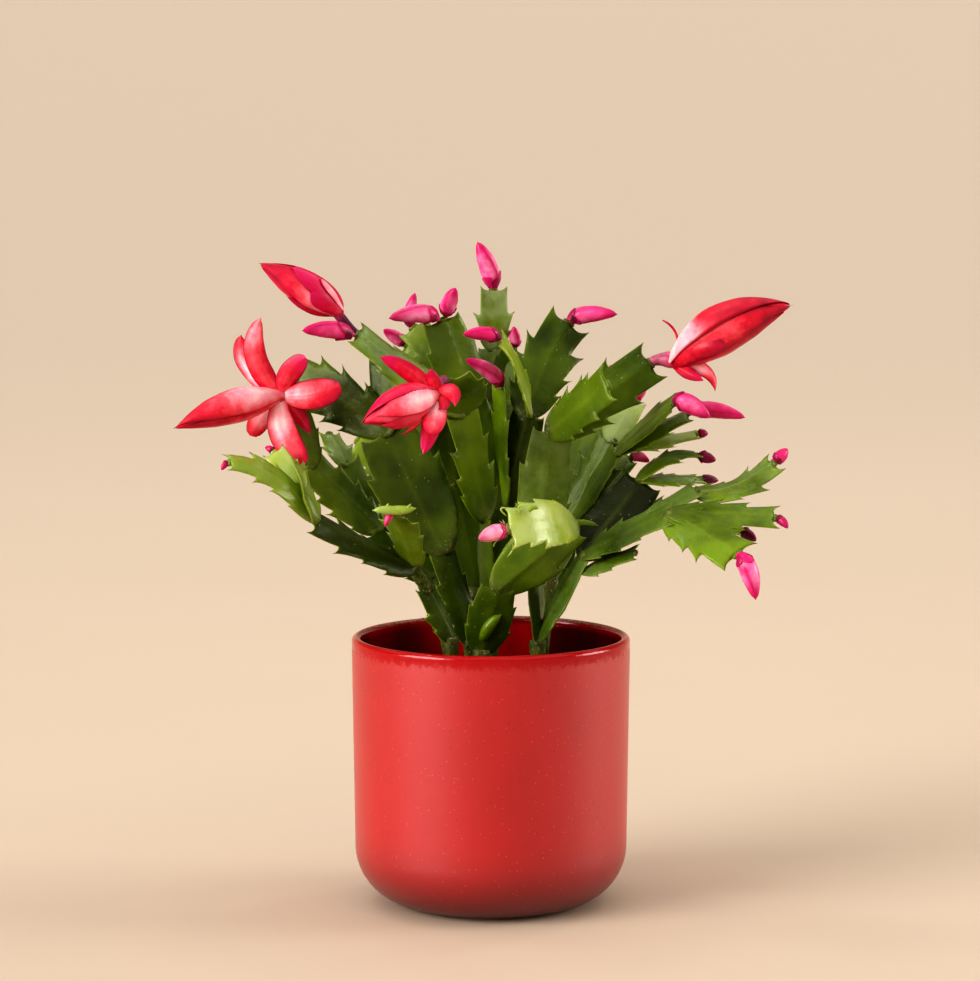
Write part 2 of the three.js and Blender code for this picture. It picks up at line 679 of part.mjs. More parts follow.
function nurseryPot() {
  const collar = NURSERY_RIM - NURSERY_COLLAR;
  const outer = NURSERY_TOP_RADIUS + NURSERY_LIP;
  const profile = [
    new THREE.Vector2(0, NURSERY_BASE),
    new THREE.Vector2(NURSERY_BOTTOM_RADIUS - NURSERY_BEVEL, NURSERY_BASE),
    new THREE.Vector2(NURSERY_BOTTOM_RADIUS, NURSERY_BASE + NURSERY_BEVEL),
    new THREE.Vector2(NURSERY_TOP_RADIUS, collar),
    new THREE.Vector2(outer, collar),
    new THREE.Vector2(outer, NURSERY_RIM),
    new THREE.Vector2(outer - NURSERY_WALL, NURSERY_RIM),
    new THREE.Vector2(NURSERY_TOP_RADIUS - NURSERY_WALL, collar - NURSERY_WALL),
    new THREE.Vector2(NURSERY_BOTTOM_RADIUS - NURSERY_WALL, NURSERY_FLOOR),
    new THREE.Vector2(0, NURSERY_FLOOR),
  ];
  let pot = solidOf(turned(profile, POT_SEGMENTS));
  for (let hole = 0; hole < DRAIN_HOLES; hole += 1) {
    const turn = (hole / DRAIN_HOLES) * 2 * Math.PI;
    const drill = new THREE.CylinderGeometry(DRAIN_RADIUS, DRAIN_RADIUS, NURSERY_COLLAR, DRAIN_SIDES)
      .rotateX(Math.PI / 2)
      .translate(DRAIN_RING_RADIUS * Math.cos(turn), DRAIN_RING_RADIUS * Math.sin(turn), NURSERY_BASE);
    pot = pot.subtract(solidOf(drill));
  }
  return pot;
}

// A repeatable rough number from -1 to 1 for a place.
const rough = (x, y) => {
  const wave = Math.sin(x * 12.9898 + y * 78.233) * 43758.5453;
  return 2 * (wave - Math.floor(wave)) - 1;
};

// The soil fills the nursery pot to a low, crumbly mound, with a plain hole for each stem.
function soil() {
  const top = NURSERY_TOP_RADIUS - NURSERY_WALL - REST_GAP;
  const bottom = NURSERY_BOTTOM_RADIUS - NURSERY_WALL - REST_GAP;
  const wallHeight = NURSERY_RIM - NURSERY_COLLAR - NURSERY_FLOOR;
  const edge = SOIL_TOP - SOIL_EDGE_DROP;
  const bank = bottom + ((top - bottom) * (edge - NURSERY_FLOOR)) / wallHeight;
  const profile = [
    new THREE.Vector2(0, NURSERY_FLOOR + REST_GAP),
    new THREE.Vector2(bottom, NURSERY_FLOOR + REST_GAP),
    new THREE.Vector2(bank, edge),
  ];
  for (let ring = SOIL_RINGS; ring >= 0; ring -= 1) {
    const share = ring / SOIL_RINGS;
    const height = SOIL_TOP - SOIL_SLUMP + SOIL_MOUND * (1 - share * share);
    profile.push(new THREE.Vector2((bank - 1) * share, height));
  }
  const body = turned(profile, SOIL_SEGMENTS);
  const places = body.attributes.position;
  for (let i = 0; i < places.count; i += 1) {
    const [x, y, z] = [places.getX(i), places.getY(i), places.getZ(i)];
    if (z > edge + 1) {
      places.setZ(i, z + SOIL_CRUMB * rough(Math.round(x), Math.round(y)));
    }
  }
  const stems = Object.values(SHOOTS).map((shoot) => stemSolid(shoot.stems[0], SEAT_GAP));
  return stems.reduce((rest, stem) => rest.subtract(stem), solidOf(body));
}

// ---- The whole plant --------------------------------------------------------------------

const cactus = new THREE.Group();
cactus.add(meshOf("cover_pot", coverPot(), RED_GLAZE));
cactus.add(meshOf("nursery_pot", nurseryPot(), NURSERY_PLASTIC));
cactus.add(meshOf("soil", soil(), POTTING_SOIL));
for (const [name, shoot] of Object.entries(SHOOTS)) {
  cactus.add(meshOf(name, shootSolid(shoot), PAD_GREEN));
}
for (const [name, bloom] of Object.entries(BLOOMS)) {
  cactus.add(meshOf(name, bloomSolid(bloom), BLOOM_RED));
}
for (const [name, bud] of Object.entries(BUDS)) {
  cactus.add(meshOf(name, budSolid(bud), BUD_PINK));
}

export default cactus;
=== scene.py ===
# %% [markdown]
# # A christmas cactus in its red pot
#
# The plant is a chain of flat green pads, each growing from the tip of the last one, with buds
# and blooms at the outermost tips. It stands in a black nursery pot inside a red glazed cover
# pot. Every piece here takes the place of one plain solid of the frame and keeps its form.

# %% The fixed frame
import math
import random

import bmesh
import bpy
from mathutils import Matrix, Vector, geometry, noise


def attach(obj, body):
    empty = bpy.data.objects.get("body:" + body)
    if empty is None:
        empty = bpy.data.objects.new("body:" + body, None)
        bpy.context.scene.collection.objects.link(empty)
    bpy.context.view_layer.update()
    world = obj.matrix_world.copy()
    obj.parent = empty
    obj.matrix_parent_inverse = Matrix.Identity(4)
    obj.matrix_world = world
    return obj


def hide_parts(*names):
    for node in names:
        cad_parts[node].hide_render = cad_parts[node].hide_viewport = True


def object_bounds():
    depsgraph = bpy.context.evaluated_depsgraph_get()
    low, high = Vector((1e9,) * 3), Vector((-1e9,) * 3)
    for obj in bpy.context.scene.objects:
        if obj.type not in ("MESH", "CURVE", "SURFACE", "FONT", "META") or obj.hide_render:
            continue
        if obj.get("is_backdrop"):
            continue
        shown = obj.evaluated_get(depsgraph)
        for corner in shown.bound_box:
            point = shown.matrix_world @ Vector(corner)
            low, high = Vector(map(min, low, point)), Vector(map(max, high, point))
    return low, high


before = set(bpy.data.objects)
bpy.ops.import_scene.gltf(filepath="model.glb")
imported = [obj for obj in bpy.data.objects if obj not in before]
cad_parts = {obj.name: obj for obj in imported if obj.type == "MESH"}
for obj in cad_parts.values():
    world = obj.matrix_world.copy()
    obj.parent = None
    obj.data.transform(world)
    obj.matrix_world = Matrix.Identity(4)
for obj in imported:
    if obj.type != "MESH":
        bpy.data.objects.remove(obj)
SOLID_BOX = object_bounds()
MM = 0.001
print("frame:", len(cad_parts), "solids")

# %% [markdown]
# ## Camera, floor and light
#
# The photo looks at the pot from a little above with a long lens, so the rim is a flat ellipse.
# The floor is a wide pale disc whose edge rises like a studio sweep. It could be a flat plane,
# but then the horizon would cut the picture; the rising edge hides it from every side.

# %% Camera
CAMERA_PLACE = (-0.0004, -1.4, 0.33)
CAMERA_DOWN = 6.17
CAMERA_LENS = 120.4

camera_data = bpy.data.cameras.new("camera")
camera_data.lens = CAMERA_LENS
camera_data.sensor_width = 36
camera = bpy.data.objects.new("camera", camera_data)
camera.location = CAMERA_PLACE
camera.rotation_euler = (math.radians(90 - CAMERA_DOWN), 0, 0)
bpy.context.scene.collection.objects.link(camera)
bpy.context.scene.camera = camera
bpy.context.scene.view_settings.view_transform = "Standard"
bpy.context.scene.view_settings.look = "High Contrast"
print("camera lens", CAMERA_LENS, "mm")

# %% [markdown]
# The shadows in the photo tell where its lights stood: a long soft one runs to the right and
# back, so the main light is at the left front, and a fainter one runs to the left. A broad one
# overhead softens both. All are far away here, as suns with a wide disc, so that floor and
# backdrop are lit evenly; a lamp close by would leave the backdrop dark. Two small weak ones
# behind the plant only show as glints on wet glaze and waxy pads. The sky fills the shadows.

# %% Lights
# Each: the way round from the front (left is negative), the height and the width of its disc,
# all in degrees, then its strength and tint. The glow of the sky fades from one to the other
# between two heights of the view, from 0 at the horizon to 1 overhead.
LAMPS = {
    "left_light": dict(around=-58, height=18, strength=2.75, width=42, tint=(1, 0.99, 0.975)),
    "right_light": dict(around=95, height=15, strength=1.5, width=34, tint=(1, 0.99, 0.975)),
    "top_light": dict(around=0, height=84, strength=1.2, width=110, tint=(1, 1, 1)),
    "left_glint": dict(around=-122, height=65, strength=0.16, width=9, tint=(1, 1, 1)),
    "right_glint": dict(around=134, height=49, strength=0.14, width=9, tint=(1, 1, 1)),
}
BACKDROP_GLOW = (0.66, 0.51, 0.37)
CEILING_GLOW = (0.2, 0.165, 0.13)
GLOW_ENDS = (0.12, 0.34)

for lamp_name, lamp in LAMPS.items():
    lamp_data = bpy.data.lights.new(lamp_name, "SUN")
    lamp_data.energy = lamp["strength"]
    lamp_data.angle = math.radians(lamp["width"])
    lamp_data.color = lamp["tint"]
    lamp_object = bpy.data.objects.new(lamp_name, lamp_data)
    lamp_object.rotation_euler = (math.radians(90 - lamp["height"]), 0, math.radians(lamp["around"]))
    bpy.context.scene.collection.objects.link(lamp_object)

world = bpy.data.worlds.new("studio")
world.use_nodes = True
sky = world.node_tree
way = sky.nodes.new("ShaderNodeTexCoord").outputs["Generated"]
height = sky.nodes.new("ShaderNodeSeparateXYZ")
fade = sky.nodes.new("ShaderNodeMapRange")
glow = sky.nodes.new("ShaderNodeMix")
glow.data_type = "RGBA"
fade.interpolation_type = "SMOOTHSTEP"
fade.inputs["From Min"].default_value, fade.inputs["From Max"].default_value = GLOW_ENDS
glow.inputs[6].default_value, glow.inputs[7].default_value = (*BACKDROP_GLOW, 1), (*CEILING_GLOW, 1)
sky.links.new(way, height.inputs[0])
sky.links.new(height.outputs["Z"], fade.inputs["Value"])
sky.links.new(fade.outputs[0], glow.inputs[0])
sky.links.new(glow.outputs[2], sky.nodes["Background"].inputs[0])
bpy.context.scene.world = world
print("lights:", len(LAMPS))

# %% [markdown]
# ## Tools for materials
#
# A material is a small graph of nodes. Writing each node and its wires in one call keeps the
# graphs short enough to read. Colours are written as they look on a screen and turned into the
# linear values that shaders work with.

# %% Graph helper
def linear(red, green, blue):
    """A screen colour, 0 to 255 a channel, as linear light with full alpha."""
    channels = [c / 255 for c in (red, green, blue)]
    return (*[c / 12.92 if c < 0.04 else ((c + 0.055) / 1.055) ** 2.4 for c in channels], 1)


class Graph:
    """Adds nodes to one tree; a socket given to a node's input is wired to it."""

    def __init__(self, tree):
        self.tree = tree

    def fill(self, socket, value):
        """Wires another socket to this one, or writes a plain value into it."""
        if isinstance(value, bpy.types.NodeSocket):
            self.tree.links.new(value, socket)
        else:
            socket.default_value = value

    def add(self, kind, inputs=None, **settings):
        node = self.tree.nodes.new("ShaderNode" + kind)
        for name, value in settings.items():
            setattr(node, name, value)
        for name, value in (inputs or {}).items():
            self.fill(node.inputs[name], value)
        return node

    def mix(self, amount, first, second):
        """The colour between two colours."""
        return self.add("Mix", {0: amount, 6: first, 7: second}, data_type="RGBA").outputs[2]

    def ramp(self, value, low, high, to_low=0.0, to_high=1.0):
        """A value stretched smoothly from one range to another."""
        sockets = {0: value, 1: low, 2: high, 3: to_low, 4: to_high}
        return self.add("MapRange", sockets, interpolation_type="SMOOTHSTEP").outputs[0]

    def work_out(self, operation, *values):
        """The result of one sum, such as ABSOLUTE or LESS_THAN."""
        return self.add("Math", dict(enumerate(values)), operation=operation).outputs[0]

    def sum(self, first, second):
        return self.work_out("ADD", first, second)

    def times(self, first, second):
        return self.work_out("MULTIPLY", first, second)

    def grown(self, name):
        """A tone that the mesh carries at each of its points."""
        return self.add("Attribute", attribute_name=name).outputs["Fac"]

    def group(self, name, **values):
        """What a shared effect gives with this material's own values."""
        node = self.add("Group", node_tree=bpy.data.node_groups[name])
        for key, value in values.items():
            self.fill(node.inputs[key.capitalize()], value)
        return node.outputs[0]

    def mottled(self, first, second, scale, amount=1.0):
        """A colour that drifts between two screen colours."""
        colours = dict(first=linear(*first), second=linear(*second))
        return self.group("mottling", **colours, scale=scale, amount=amount)

    def grain(self, scale, detail):
        return self.group("grain", scale=scale, detail=detail)

    def specks(self, scale, radius, share):
        return self.group("specks", scale=scale, radius=radius, share=share)


def surface(name):
    """A new material: its graph and its one shader."""
    material = bpy.data.materials.new(name)
    material.use_nodes = True
    return material, Graph(material.node_tree), material.node_tree.nodes["Principled BSDF"]


def plug(graph, shader, **wires):
    """Wires values to the shader's sockets, named with underscores."""
    for name, socket in wires.items():
        graph.tree.links.new(socket, shader.inputs[name.replace("_", " ").title()])


def settle(shader, values):
    """Writes plain values into the shader's sockets."""
    for name, value in values.items():
        shader.inputs[name].default_value = value


def bump(graph, shader, height, strength, distance):
    """Raises the surface by a height, with a depth in metres."""
    node = graph.add("Bump", {"Height": height, "Strength": strength, "Distance": distance})
    graph.tree.links.new(node.outputs["Normal"], shader.inputs["Normal"])


# %% [markdown]
# ## Effects that several materials share
#
# Living skin and glaze are never one flat colour. Three small effects are built once as node
# groups: a soft mottling between two colours, a fine grain of bumps, and scattered pin specks
# for pores, dust and crumbs. Each material places them with its own scale and strength.

# %% Shared effects
def shared_effect(name, inputs, outputs):
    """An empty node group with named sockets, and its graph."""
    tree = bpy.data.node_groups.new(name, "ShaderNodeTree")
    for kind, sockets in (("INPUT", inputs), ("OUTPUT", outputs)):
        for socket_name, socket_type in sockets.items():
            tree.interface.new_socket(socket_name, in_out=kind, socket_type="NodeSocket" + socket_type)
    graph = Graph(tree)
    return graph, tree.nodes.new("NodeGroupInput").outputs, tree.nodes.new("NodeGroupOutput").inputs


def build_mottling():
    """A colour that drifts between two colours in soft clouds."""
    sockets = {"First": "Color", "Second": "Color", "Scale": "Float", "Amount": "Float"}
    graph, given, result = shared_effect("mottling", sockets, {"Color": "Color"})
    place = graph.add("TexCoord").outputs["Object"]
    clouds = graph.add("TexNoise", {"Vector": place, "Scale": given["Scale"], "Detail": 3.0})
    share = graph.times(graph.ramp(clouds.outputs[0], 0.35, 0.68), given["Amount"])
    graph.tree.links.new(graph.mix(share, given["First"], given["Second"]), result["Color"])


def build_grain():
    """A fine even roughness, as a height from 0 to 1."""
    sockets = {"Scale": "Float", "Detail": "Float"}
    graph, given, result = shared_effect("grain", sockets, {"Height": "Float"})
    place = graph.add("TexCoord").outputs["Object"]
    inputs = {"Vector": place, "Scale": given["Scale"], "Detail": given["Detail"], "Roughness": 0.6}
    graph.tree.links.new(graph.add("TexNoise", inputs).outputs[0], result["Height"])


def build_specks():
    """Scattered round specks: 1 in a speck, 0 round it. Share is how many cells hold one."""
    sockets = {"Scale": "Float", "Radius": "Float", "Share": "Float"}
    graph, given, result = shared_effect("specks", sockets, {"Mask": "Float"})
    place = graph.add("TexCoord").outputs["Object"]
    cells = graph.add("TexVoronoi", {"Vector": place, "Scale": given["Scale"]})
    dot = graph.work_out("LESS_THAN", cells.outputs["Distance"], given["Radius"])
    pick = graph.add("SeparateColor", {"Color": cells.outputs["Color"]}).outputs[0]
    chosen = graph.work_out("LESS_THAN", pick, given["Share"])
    graph.tree.links.new(graph.times(dot, chosen), result["Mask"])


for build in (build_mottling, build_grain, build_specks):
    build()
print("shared effects:", len(bpy.data.node_groups))

# %% [markdown]
# ## The red glaze
#
# The cover pot has two glazes. Its body is satin, with tiny pale specks and dark pores; the satin
# is a rough clear coat over it. Its lip and inside are dipped in a clear wet one, so the top
# band is deeper and glossy, with a ragged lower edge. On the lip's crest the clay shows through
# in a thin speckled line, most at the back. Inside, light and shade are painted into the glaze:
# bright at the middle, dark to the right. Low on the body a painted shade darkens it towards the
# foot. The mesh tells each point how many millimetres it lies from the crest, outward below
# zero and inward above it, so the bands follow the lip exactly.

# %% Glaze
def glaze():
    material, graph, shader = surface("red_glaze")
    from_crest = graph.grown("from_crest")
    colour = graph.mottled((176, 4, 16), (168, 3, 13), 26, 0.8)
    # Painted shade: the glaze darkens low on the body towards the foot, where less light reaches it.
    painted_foot_shade = graph.ramp(from_crest, -120, -80, 0.95, 0.0)
    colour = graph.mix(painted_foot_shade, colour, linear(92, 1, 8))

    ragged = graph.grain(380, 8)
    edge = graph.sum(from_crest, graph.times(ragged, 7.0))
    dipped = graph.ramp(edge, -5.2, -0.6)
    colour = graph.mix(dipped, colour, linear(166, 0, 12))

    place = graph.add("SeparateXYZ", {0: graph.add("TexCoord").outputs["Object"]}).outputs
    off_middle = graph.work_out("ABSOLUTE", graph.sum(place["X"], 0.002))
    # Painted light and shade inside the pot: bright red near the middle, darker to the sides, darkest to the
    # right.
    painted_inside_light = graph.mix(graph.ramp(off_middle, 0.006, 0.034), linear(246, 8, 30), linear(120, 1, 8))
    painted_inside_light = graph.mix(graph.ramp(place["X"], 0.014, 0.034), painted_inside_light, linear(78, 1, 6))
    colour = graph.mix(graph.ramp(from_crest, 2.5, 6.0), colour, painted_inside_light)

    satin = graph.work_out("SUBTRACT", 1.0, dipped)
    pale, pores = graph.specks(650, 0.2, 0.16), graph.specks(420, 0.2, 0.10)
    colour = graph.mix(graph.times(pale, graph.times(satin, 0.35)), colour, linear(236, 120, 105))
    colour = graph.mix(graph.times(pores, graph.times(satin, 0.6)), colour, linear(120, 10, 16))

    worn = graph.sum(from_crest, graph.times(ragged, 1.4))
    clay = graph.times(graph.ramp(worn, 0.6, 1.0), graph.ramp(worn, 2.5, 2.9, 1.0, 0.0))
    clay = graph.times(clay, graph.ramp(place["Y"], -0.03, 0.04, 0.3, 0.9))
    colour = graph.mix(clay, colour, graph.mottled((176, 120, 100), (84, 34, 30), 900))

    roughness = graph.sum(graph.ramp(dipped, 0, 1, 0.43, 0.07), graph.times(clay, 0.4))
    plug(graph, shader, Base_Color=colour, Roughness=roughness, Coat_Weight=satin)
    peel = graph.times(graph.grain(480, 3), graph.times(dipped, 2.0))
    relief = graph.sum(graph.sum(graph.grain(900, 2), peel), graph.times(pores, -0.6))
    bump(graph, shader, relief, 0.16, 0.0004)
    settle(shader, {"Coat Roughness": 0.43, "Specular IOR Level": 0.5})
    return material


# %% [markdown]
# ## Black nursery plastic and potting soil
#
# The thin inner pot is grainy black plastic. The soil is a damp brown mix in which crumbs of
# bark and white perlite lie; the mesh marks which crumb is which.

# %% Plastic and soil
def nursery_plastic():
    material, graph, shader = surface("nursery_plastic")
    plug(graph, shader, Base_Color=graph.mottled((34, 31, 30), (58, 52, 47), 60, 0.6))
    bump(graph, shader, graph.grain(1400, 2), 0.3, 0.0003)
    settle(shader, {"Roughness": 0.5})
    return material


def potting_soil():
    material, graph, shader = surface("potting_soil")
    stuff = graph.grown("stuff")
    damp = graph.mottled((46, 32, 24), (84, 60, 42), 180)
    bark = graph.mottled((104, 66, 42), (66, 40, 26), 500)
    perlite = graph.mottled((226, 220, 208), (188, 178, 160), 900, 0.8)
    colour = graph.mix(graph.ramp(stuff, 0.3, 0.4), damp, bark)
    colour = graph.mix(graph.ramp(stuff, 0.7, 0.8), colour, perlite)
    plug(graph, shader, Base_Color=colour)
    bump(graph, shader, graph.grain(700, 6), 0.8, 0.001)
    settle(shader, {"Roughness": 0.9})
    return material


# %% [markdown]
# ## The skin of the pads
#
# A young pad is yellow-green and thin, an old one dark with corky joints. Light comes a little
# way through the flesh. The mesh carries five tones: how old the pad is, and past that how deep a
# painted shade darkens it; how close a point is to its margin, to its midrib and to its woody
# joint; and how much grey wax lies there, which on the young curled pad in front also paints a
# pale highlight. The youngest pads also have a soft shine, as a clear coat.

# %% Pad skin
def pad_skin():
    material, graph, shader = surface("pad_skin")
    age_and_shade, margin, rib, wood, wax_and_sheen = [graph.grown(name) for name in ("age_and_shade", "margin", "rib", "wood", "wax_and_sheen")]
    young = graph.mottled((172, 186, 52), (140, 164, 34), 55)
    middle = graph.mottled((116, 142, 13), (72, 98, 5), 48)
    old = graph.mottled((82, 104, 6), (42, 62, 3), 42)
    shade = graph.mottled((24, 34, 2), (13, 21, 1), 42)
    colour = graph.mix(graph.ramp(age_and_shade, 0.05, 0.5), young, middle)
    colour = graph.mix(graph.ramp(age_and_shade, 0.42, 0.85), colour, old)
    # Painted shade: past 0.85 the first tone darkens a pad towards a near-black green, as for pads that lie
    # in shadow.
    colour = graph.mix(graph.ramp(age_and_shade, 0.85, 1.15), colour, shade)
    lit = graph.mix(0.32, colour, linear(170, 190, 60))
    colour = graph.mix(graph.times(rib, 0.3), colour, lit)

    cloud = graph.grain(75, 4)
    # The grey wax tone; on the young curled pad in front it also paints a pale highlight.
    waxed = graph.times(wax_and_sheen, graph.ramp(cloud, 0.3, 0.62))
    wax_tone = graph.mix(graph.ramp(age_and_shade, 0.25, 0.5), linear(194, 210, 158), linear(146, 164, 112))
    colour = graph.mix(graph.times(waxed, 0.75), colour, wax_tone)
    colour = graph.mix(graph.ramp(margin, 0.4, 1.0, 0.0, 0.65), colour, linear(150, 164, 30))
    scabs = graph.times(graph.specks(560, 0.15, 0.14), graph.ramp(age_and_shade, 0.3, 0.8, 0.05, 0.42))
    colour = graph.mix(scabs, colour, linear(196, 204, 160))

    flecks = graph.grain(900, 5)
    corky = graph.mottled((94, 96, 44), (50, 58, 18), 260)
    corky = graph.mix(graph.ramp(flecks, 0.56, 0.66, 0.0, 0.8), corky, linear(176, 170, 140))
    colour = graph.mix(wood, colour, corky)

    roughness = graph.sum(graph.ramp(cloud, 0.3, 0.7, 0.27, 0.42), graph.times(wood, 0.3))
    shine = graph.ramp(age_and_shade, 0.2, 0.7, 0.6, 0.12)
    plug(graph, shader, Base_Color=colour, Roughness=roughness, Coat_Weight=shine)
    skin = graph.sum(graph.grain(120, 3), graph.times(graph.grain(850, 2), 0.25))
    scars = graph.times(graph.times(flecks, wood), 1.5)
    bump(graph, shader, graph.sum(skin, scars), 0.5, 0.0009)
    settle(shader, {
        "Specular IOR Level": 0.36, "Specular Tint": (0.92, 1.0, 0.55, 1.0), "Coat Roughness": 0.24,
        "Subsurface Weight": 0.1, "Subsurface Radius": (0.7, 1.0, 0.1), "Subsurface Scale": 0.0012,
    })
    return material


# %% [markdown]
# ## Petals, buds and bristles
#
# A petal is whitish pink down its middle near the heart and turns coral, then red, towards its
# tip and edges, with a thin dark line at the very edge. Each point carries its place on that
# scale, so no two petals are alike; near the base of the right bloom's top fold a pale patch on
# that scale is a painted highlight. The foot under each bloom is a waxy mauve. A bud is still
# wrapped in small scales and is magenta all over, with a painted highlight where its folded
# petals swell and painted shade along its seams and the edges of its scales.

# %% Petal
# The colours along a petal, from its pale heart to its dark tip.
BLUSH_COLOURS = {
    0.0: (248, 216, 214), 0.2: (244, 164, 178), 0.42: (236, 90, 104),
    0.62: (210, 24, 58), 0.82: (176, 6, 46), 1.0: (138, 2, 40),
}


def petal_skin():
    material, graph, shader = surface("petal_skin")
    blush, edge, magenta, mauve = [graph.grown(name) for name in ("blush", "edge", "magenta", "mauve")]
    veins = graph.grain(170, 4)
    tone = graph.sum(blush, graph.ramp(veins, 0.3, 0.7, -0.09, 0.09))
    bands = graph.add("ValToRGB", {"Fac": tone})
    stops = bands.color_ramp.elements
    for index, (place, colour) in enumerate(BLUSH_COLOURS.items()):
        stop = stops[index] if index < 2 else stops.new(place)
        stop.position = place
        stop.color = linear(*colour)
    colour = graph.mix(magenta, bands.outputs["Color"], linear(206, 4, 96))
    colour = graph.mix(graph.ramp(edge, 0.86, 1.0, 0.0, 0.75), colour, linear(160, 4, 40))
    waxy = graph.mottled((186, 92, 124), (128, 52, 76), 220)
    waxy = graph.mix(graph.ramp(blush, 0.6, 1.0), waxy, linear(84, 22, 58))
    colour = graph.mix(mauve, colour, waxy)
    plug(graph, shader, Base_Color=colour)
    bump(graph, shader, graph.sum(graph.grain(500, 2), graph.times(veins, 1.5)), 0.2, 0.0006)
    settle(shader, {
        "Roughness": 0.4, "Specular IOR Level": 0.4,
        "Subsurface Weight": 0.15, "Subsurface Radius": (1.0, 0.4, 0.5), "Subsurface Scale": 0.0015,
    })
    return material


# %% Bud and bristle
def bud_skin():
    material, graph, shader = surface("bud_skin")
    along, swell_sheen, ripe, seam_shade = [graph.grown(name) for name in ("along", "swell_sheen", "ripe", "seam_shade")]
    pale = graph.mottled((246, 122, 184), (252, 176, 212), 260)
    full = graph.mottled((222, 28, 122), (196, 12, 98), 170)
    unripe = graph.mottled((124, 18, 70), (84, 12, 46), 260)
    colour = graph.mix(graph.ramp(ripe, 0.15, 0.6), unripe, full)
    streaks = graph.grain(210, 4)
    # Painted highlight: each folded petal is paler where it swells.
    light = graph.times(swell_sheen, graph.ramp(streaks, 0.32, 0.6, 0.45, 1.0))
    light = graph.times(light, graph.ramp(ripe, 0.5, 1.0, 0.0, 0.95))
    colour = graph.mix(light, colour, pale)
    milky = graph.times(graph.ramp(ripe, 1.0, 1.5, 0.0, 0.75), graph.ramp(streaks, 0.3, 0.6, 0.5, 1.0))
    colour = graph.mix(milky, colour, linear(244, 176, 196))
    colour = graph.mix(graph.ramp(along, 0.8, 1.0, 0.0, 0.5), colour, linear(164, 6, 84))
    # Painted shade along the seams and the edges of the scales.
    colour = graph.mix(graph.times(seam_shade, 0.6), colour, linear(150, 8, 70))
    plug(graph, shader, Base_Color=colour)
    bump(graph, shader, graph.grain(420, 3), 0.2, 0.0006)
    settle(shader, {
        "Roughness": 0.34, "Specular IOR Level": 0.4,
        "Subsurface Weight": 0.12, "Subsurface Radius": (1.0, 0.3, 0.5), "Subsurface Scale": 0.0015,
    })
    return material


def bristle_hair():
    material, graph, shader = surface("bristle_hair")
    plug(graph, shader, Base_Color=graph.mottled((214, 196, 150), (158, 112, 84), 300))
    settle(shader, {"Roughness": 0.55})
    return material


GLAZE, PLASTIC, SOIL = glaze(), nursery_plastic(), potting_soil()
PAD, PETAL, BUD, HAIR = pad_skin(), petal_skin(), bud_skin(), bristle_hair()
print("materials:", len(bpy.data.materials))

# %% [markdown]
# ## Growing a mesh
#
# All the living pieces are skins: rings of points, one after the other, joined by faces. A
# class gathers the rings of one piece, with the tones of each point, and turns them into one
# mesh in metres. Plant sizes stay in millimetres, because that is how a plant is measured.

# %% Tissue
class Tissue:
    """The points, faces and tones of one piece, in millimetres, while it grows."""

    def __init__(self, *tones):
        self.names = tones
        self.points, self.faces, self.tones = [], [], []

    def add_skin(self, rings, tones):
        """Rings of points that all have as many; the end rings are closed by a face."""
        base, sides = len(self.points), len(rings[0])
        for ring, ring_tones in zip(rings, tones):
            self.points += ring
            self.tones += ring_tones
        for row in range(len(rings) - 1):
            first = base + row * sides
            for side in range(sides):
                after = (side + 1) % sides
                self.faces.append((first + side, first + after, first + sides + after, first + sides + side))
        self.faces.append(tuple(range(base, base + sides)))
        self.faces.append(tuple(range(base + (len(rings) - 1) * sides, base + len(rings) * sides)))

    def grow(self, name, material, slot=None):
        """Makes the object and sends its faces outward. With a slot it replaces the solid of its name."""
        mesh = bpy.data.meshes.new(name + "_fine")
        mesh.from_pydata([p * MM for p in self.points], [], self.faces)
        for index, tone in enumerate(self.names):
            layer = mesh.attributes.new(tone, "FLOAT", "POINT")
            layer.data.foreach_set("value", [t[index] for t in self.tones])
        work = bmesh.new()
        work.from_mesh(mesh)
        bmesh.ops.recalc_face_normals(work, faces=work.faces)
        work.to_mesh(mesh)
        work.free()
        mesh.polygons.foreach_set("use_smooth", [True] * len(mesh.polygons))
        mesh.materials.append(material)
        piece = bpy.data.objects.new(name + "_fine", mesh)
        bpy.context.scene.collection.objects.link(piece)
        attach(piece, "root")
        if slot:
            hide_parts(name)
        return piece


def slope_at(points, index):
    """The slope of a smooth curve at one of its points: flat at a peak, else between its sides."""
    if index in (0, len(points) - 1):
        return 0.0 if index else (points[1][1] - points[0][1]) / (points[1][0] - points[0][0])
    (x0, y0), (x1, y1), (x2, y2) = points[index - 1: index + 2]
    before, after = (y1 - y0) / (x1 - x0), (y2 - y1) / (x2 - x1)
    if before * after <= 0:
        return 0.0
    return 2 * before * after / (before + after)


def blend(points, place):
    """The height at a place of a smooth curve through (place, height) points, with no bulges."""
    place = min(max(place, points[0][0]), points[-1][0])
    for index, ((x0, y0), (x1, y1)) in enumerate(zip(points, points[1:])):
        if place <= x1:
            run = x1 - x0
            t = (place - x0) / run
            rise, fall = slope_at(points, index) * run, slope_at(points, index + 1) * run
            return y0 + t * (rise + t * (3 * (y1 - y0) - 2 * rise - fall + t * (2 * (y0 - y1) + rise + fall)))
    return points[-1][1]


NO_BOW = (0, 0, 0)
FRONT = (0, -1, 0)


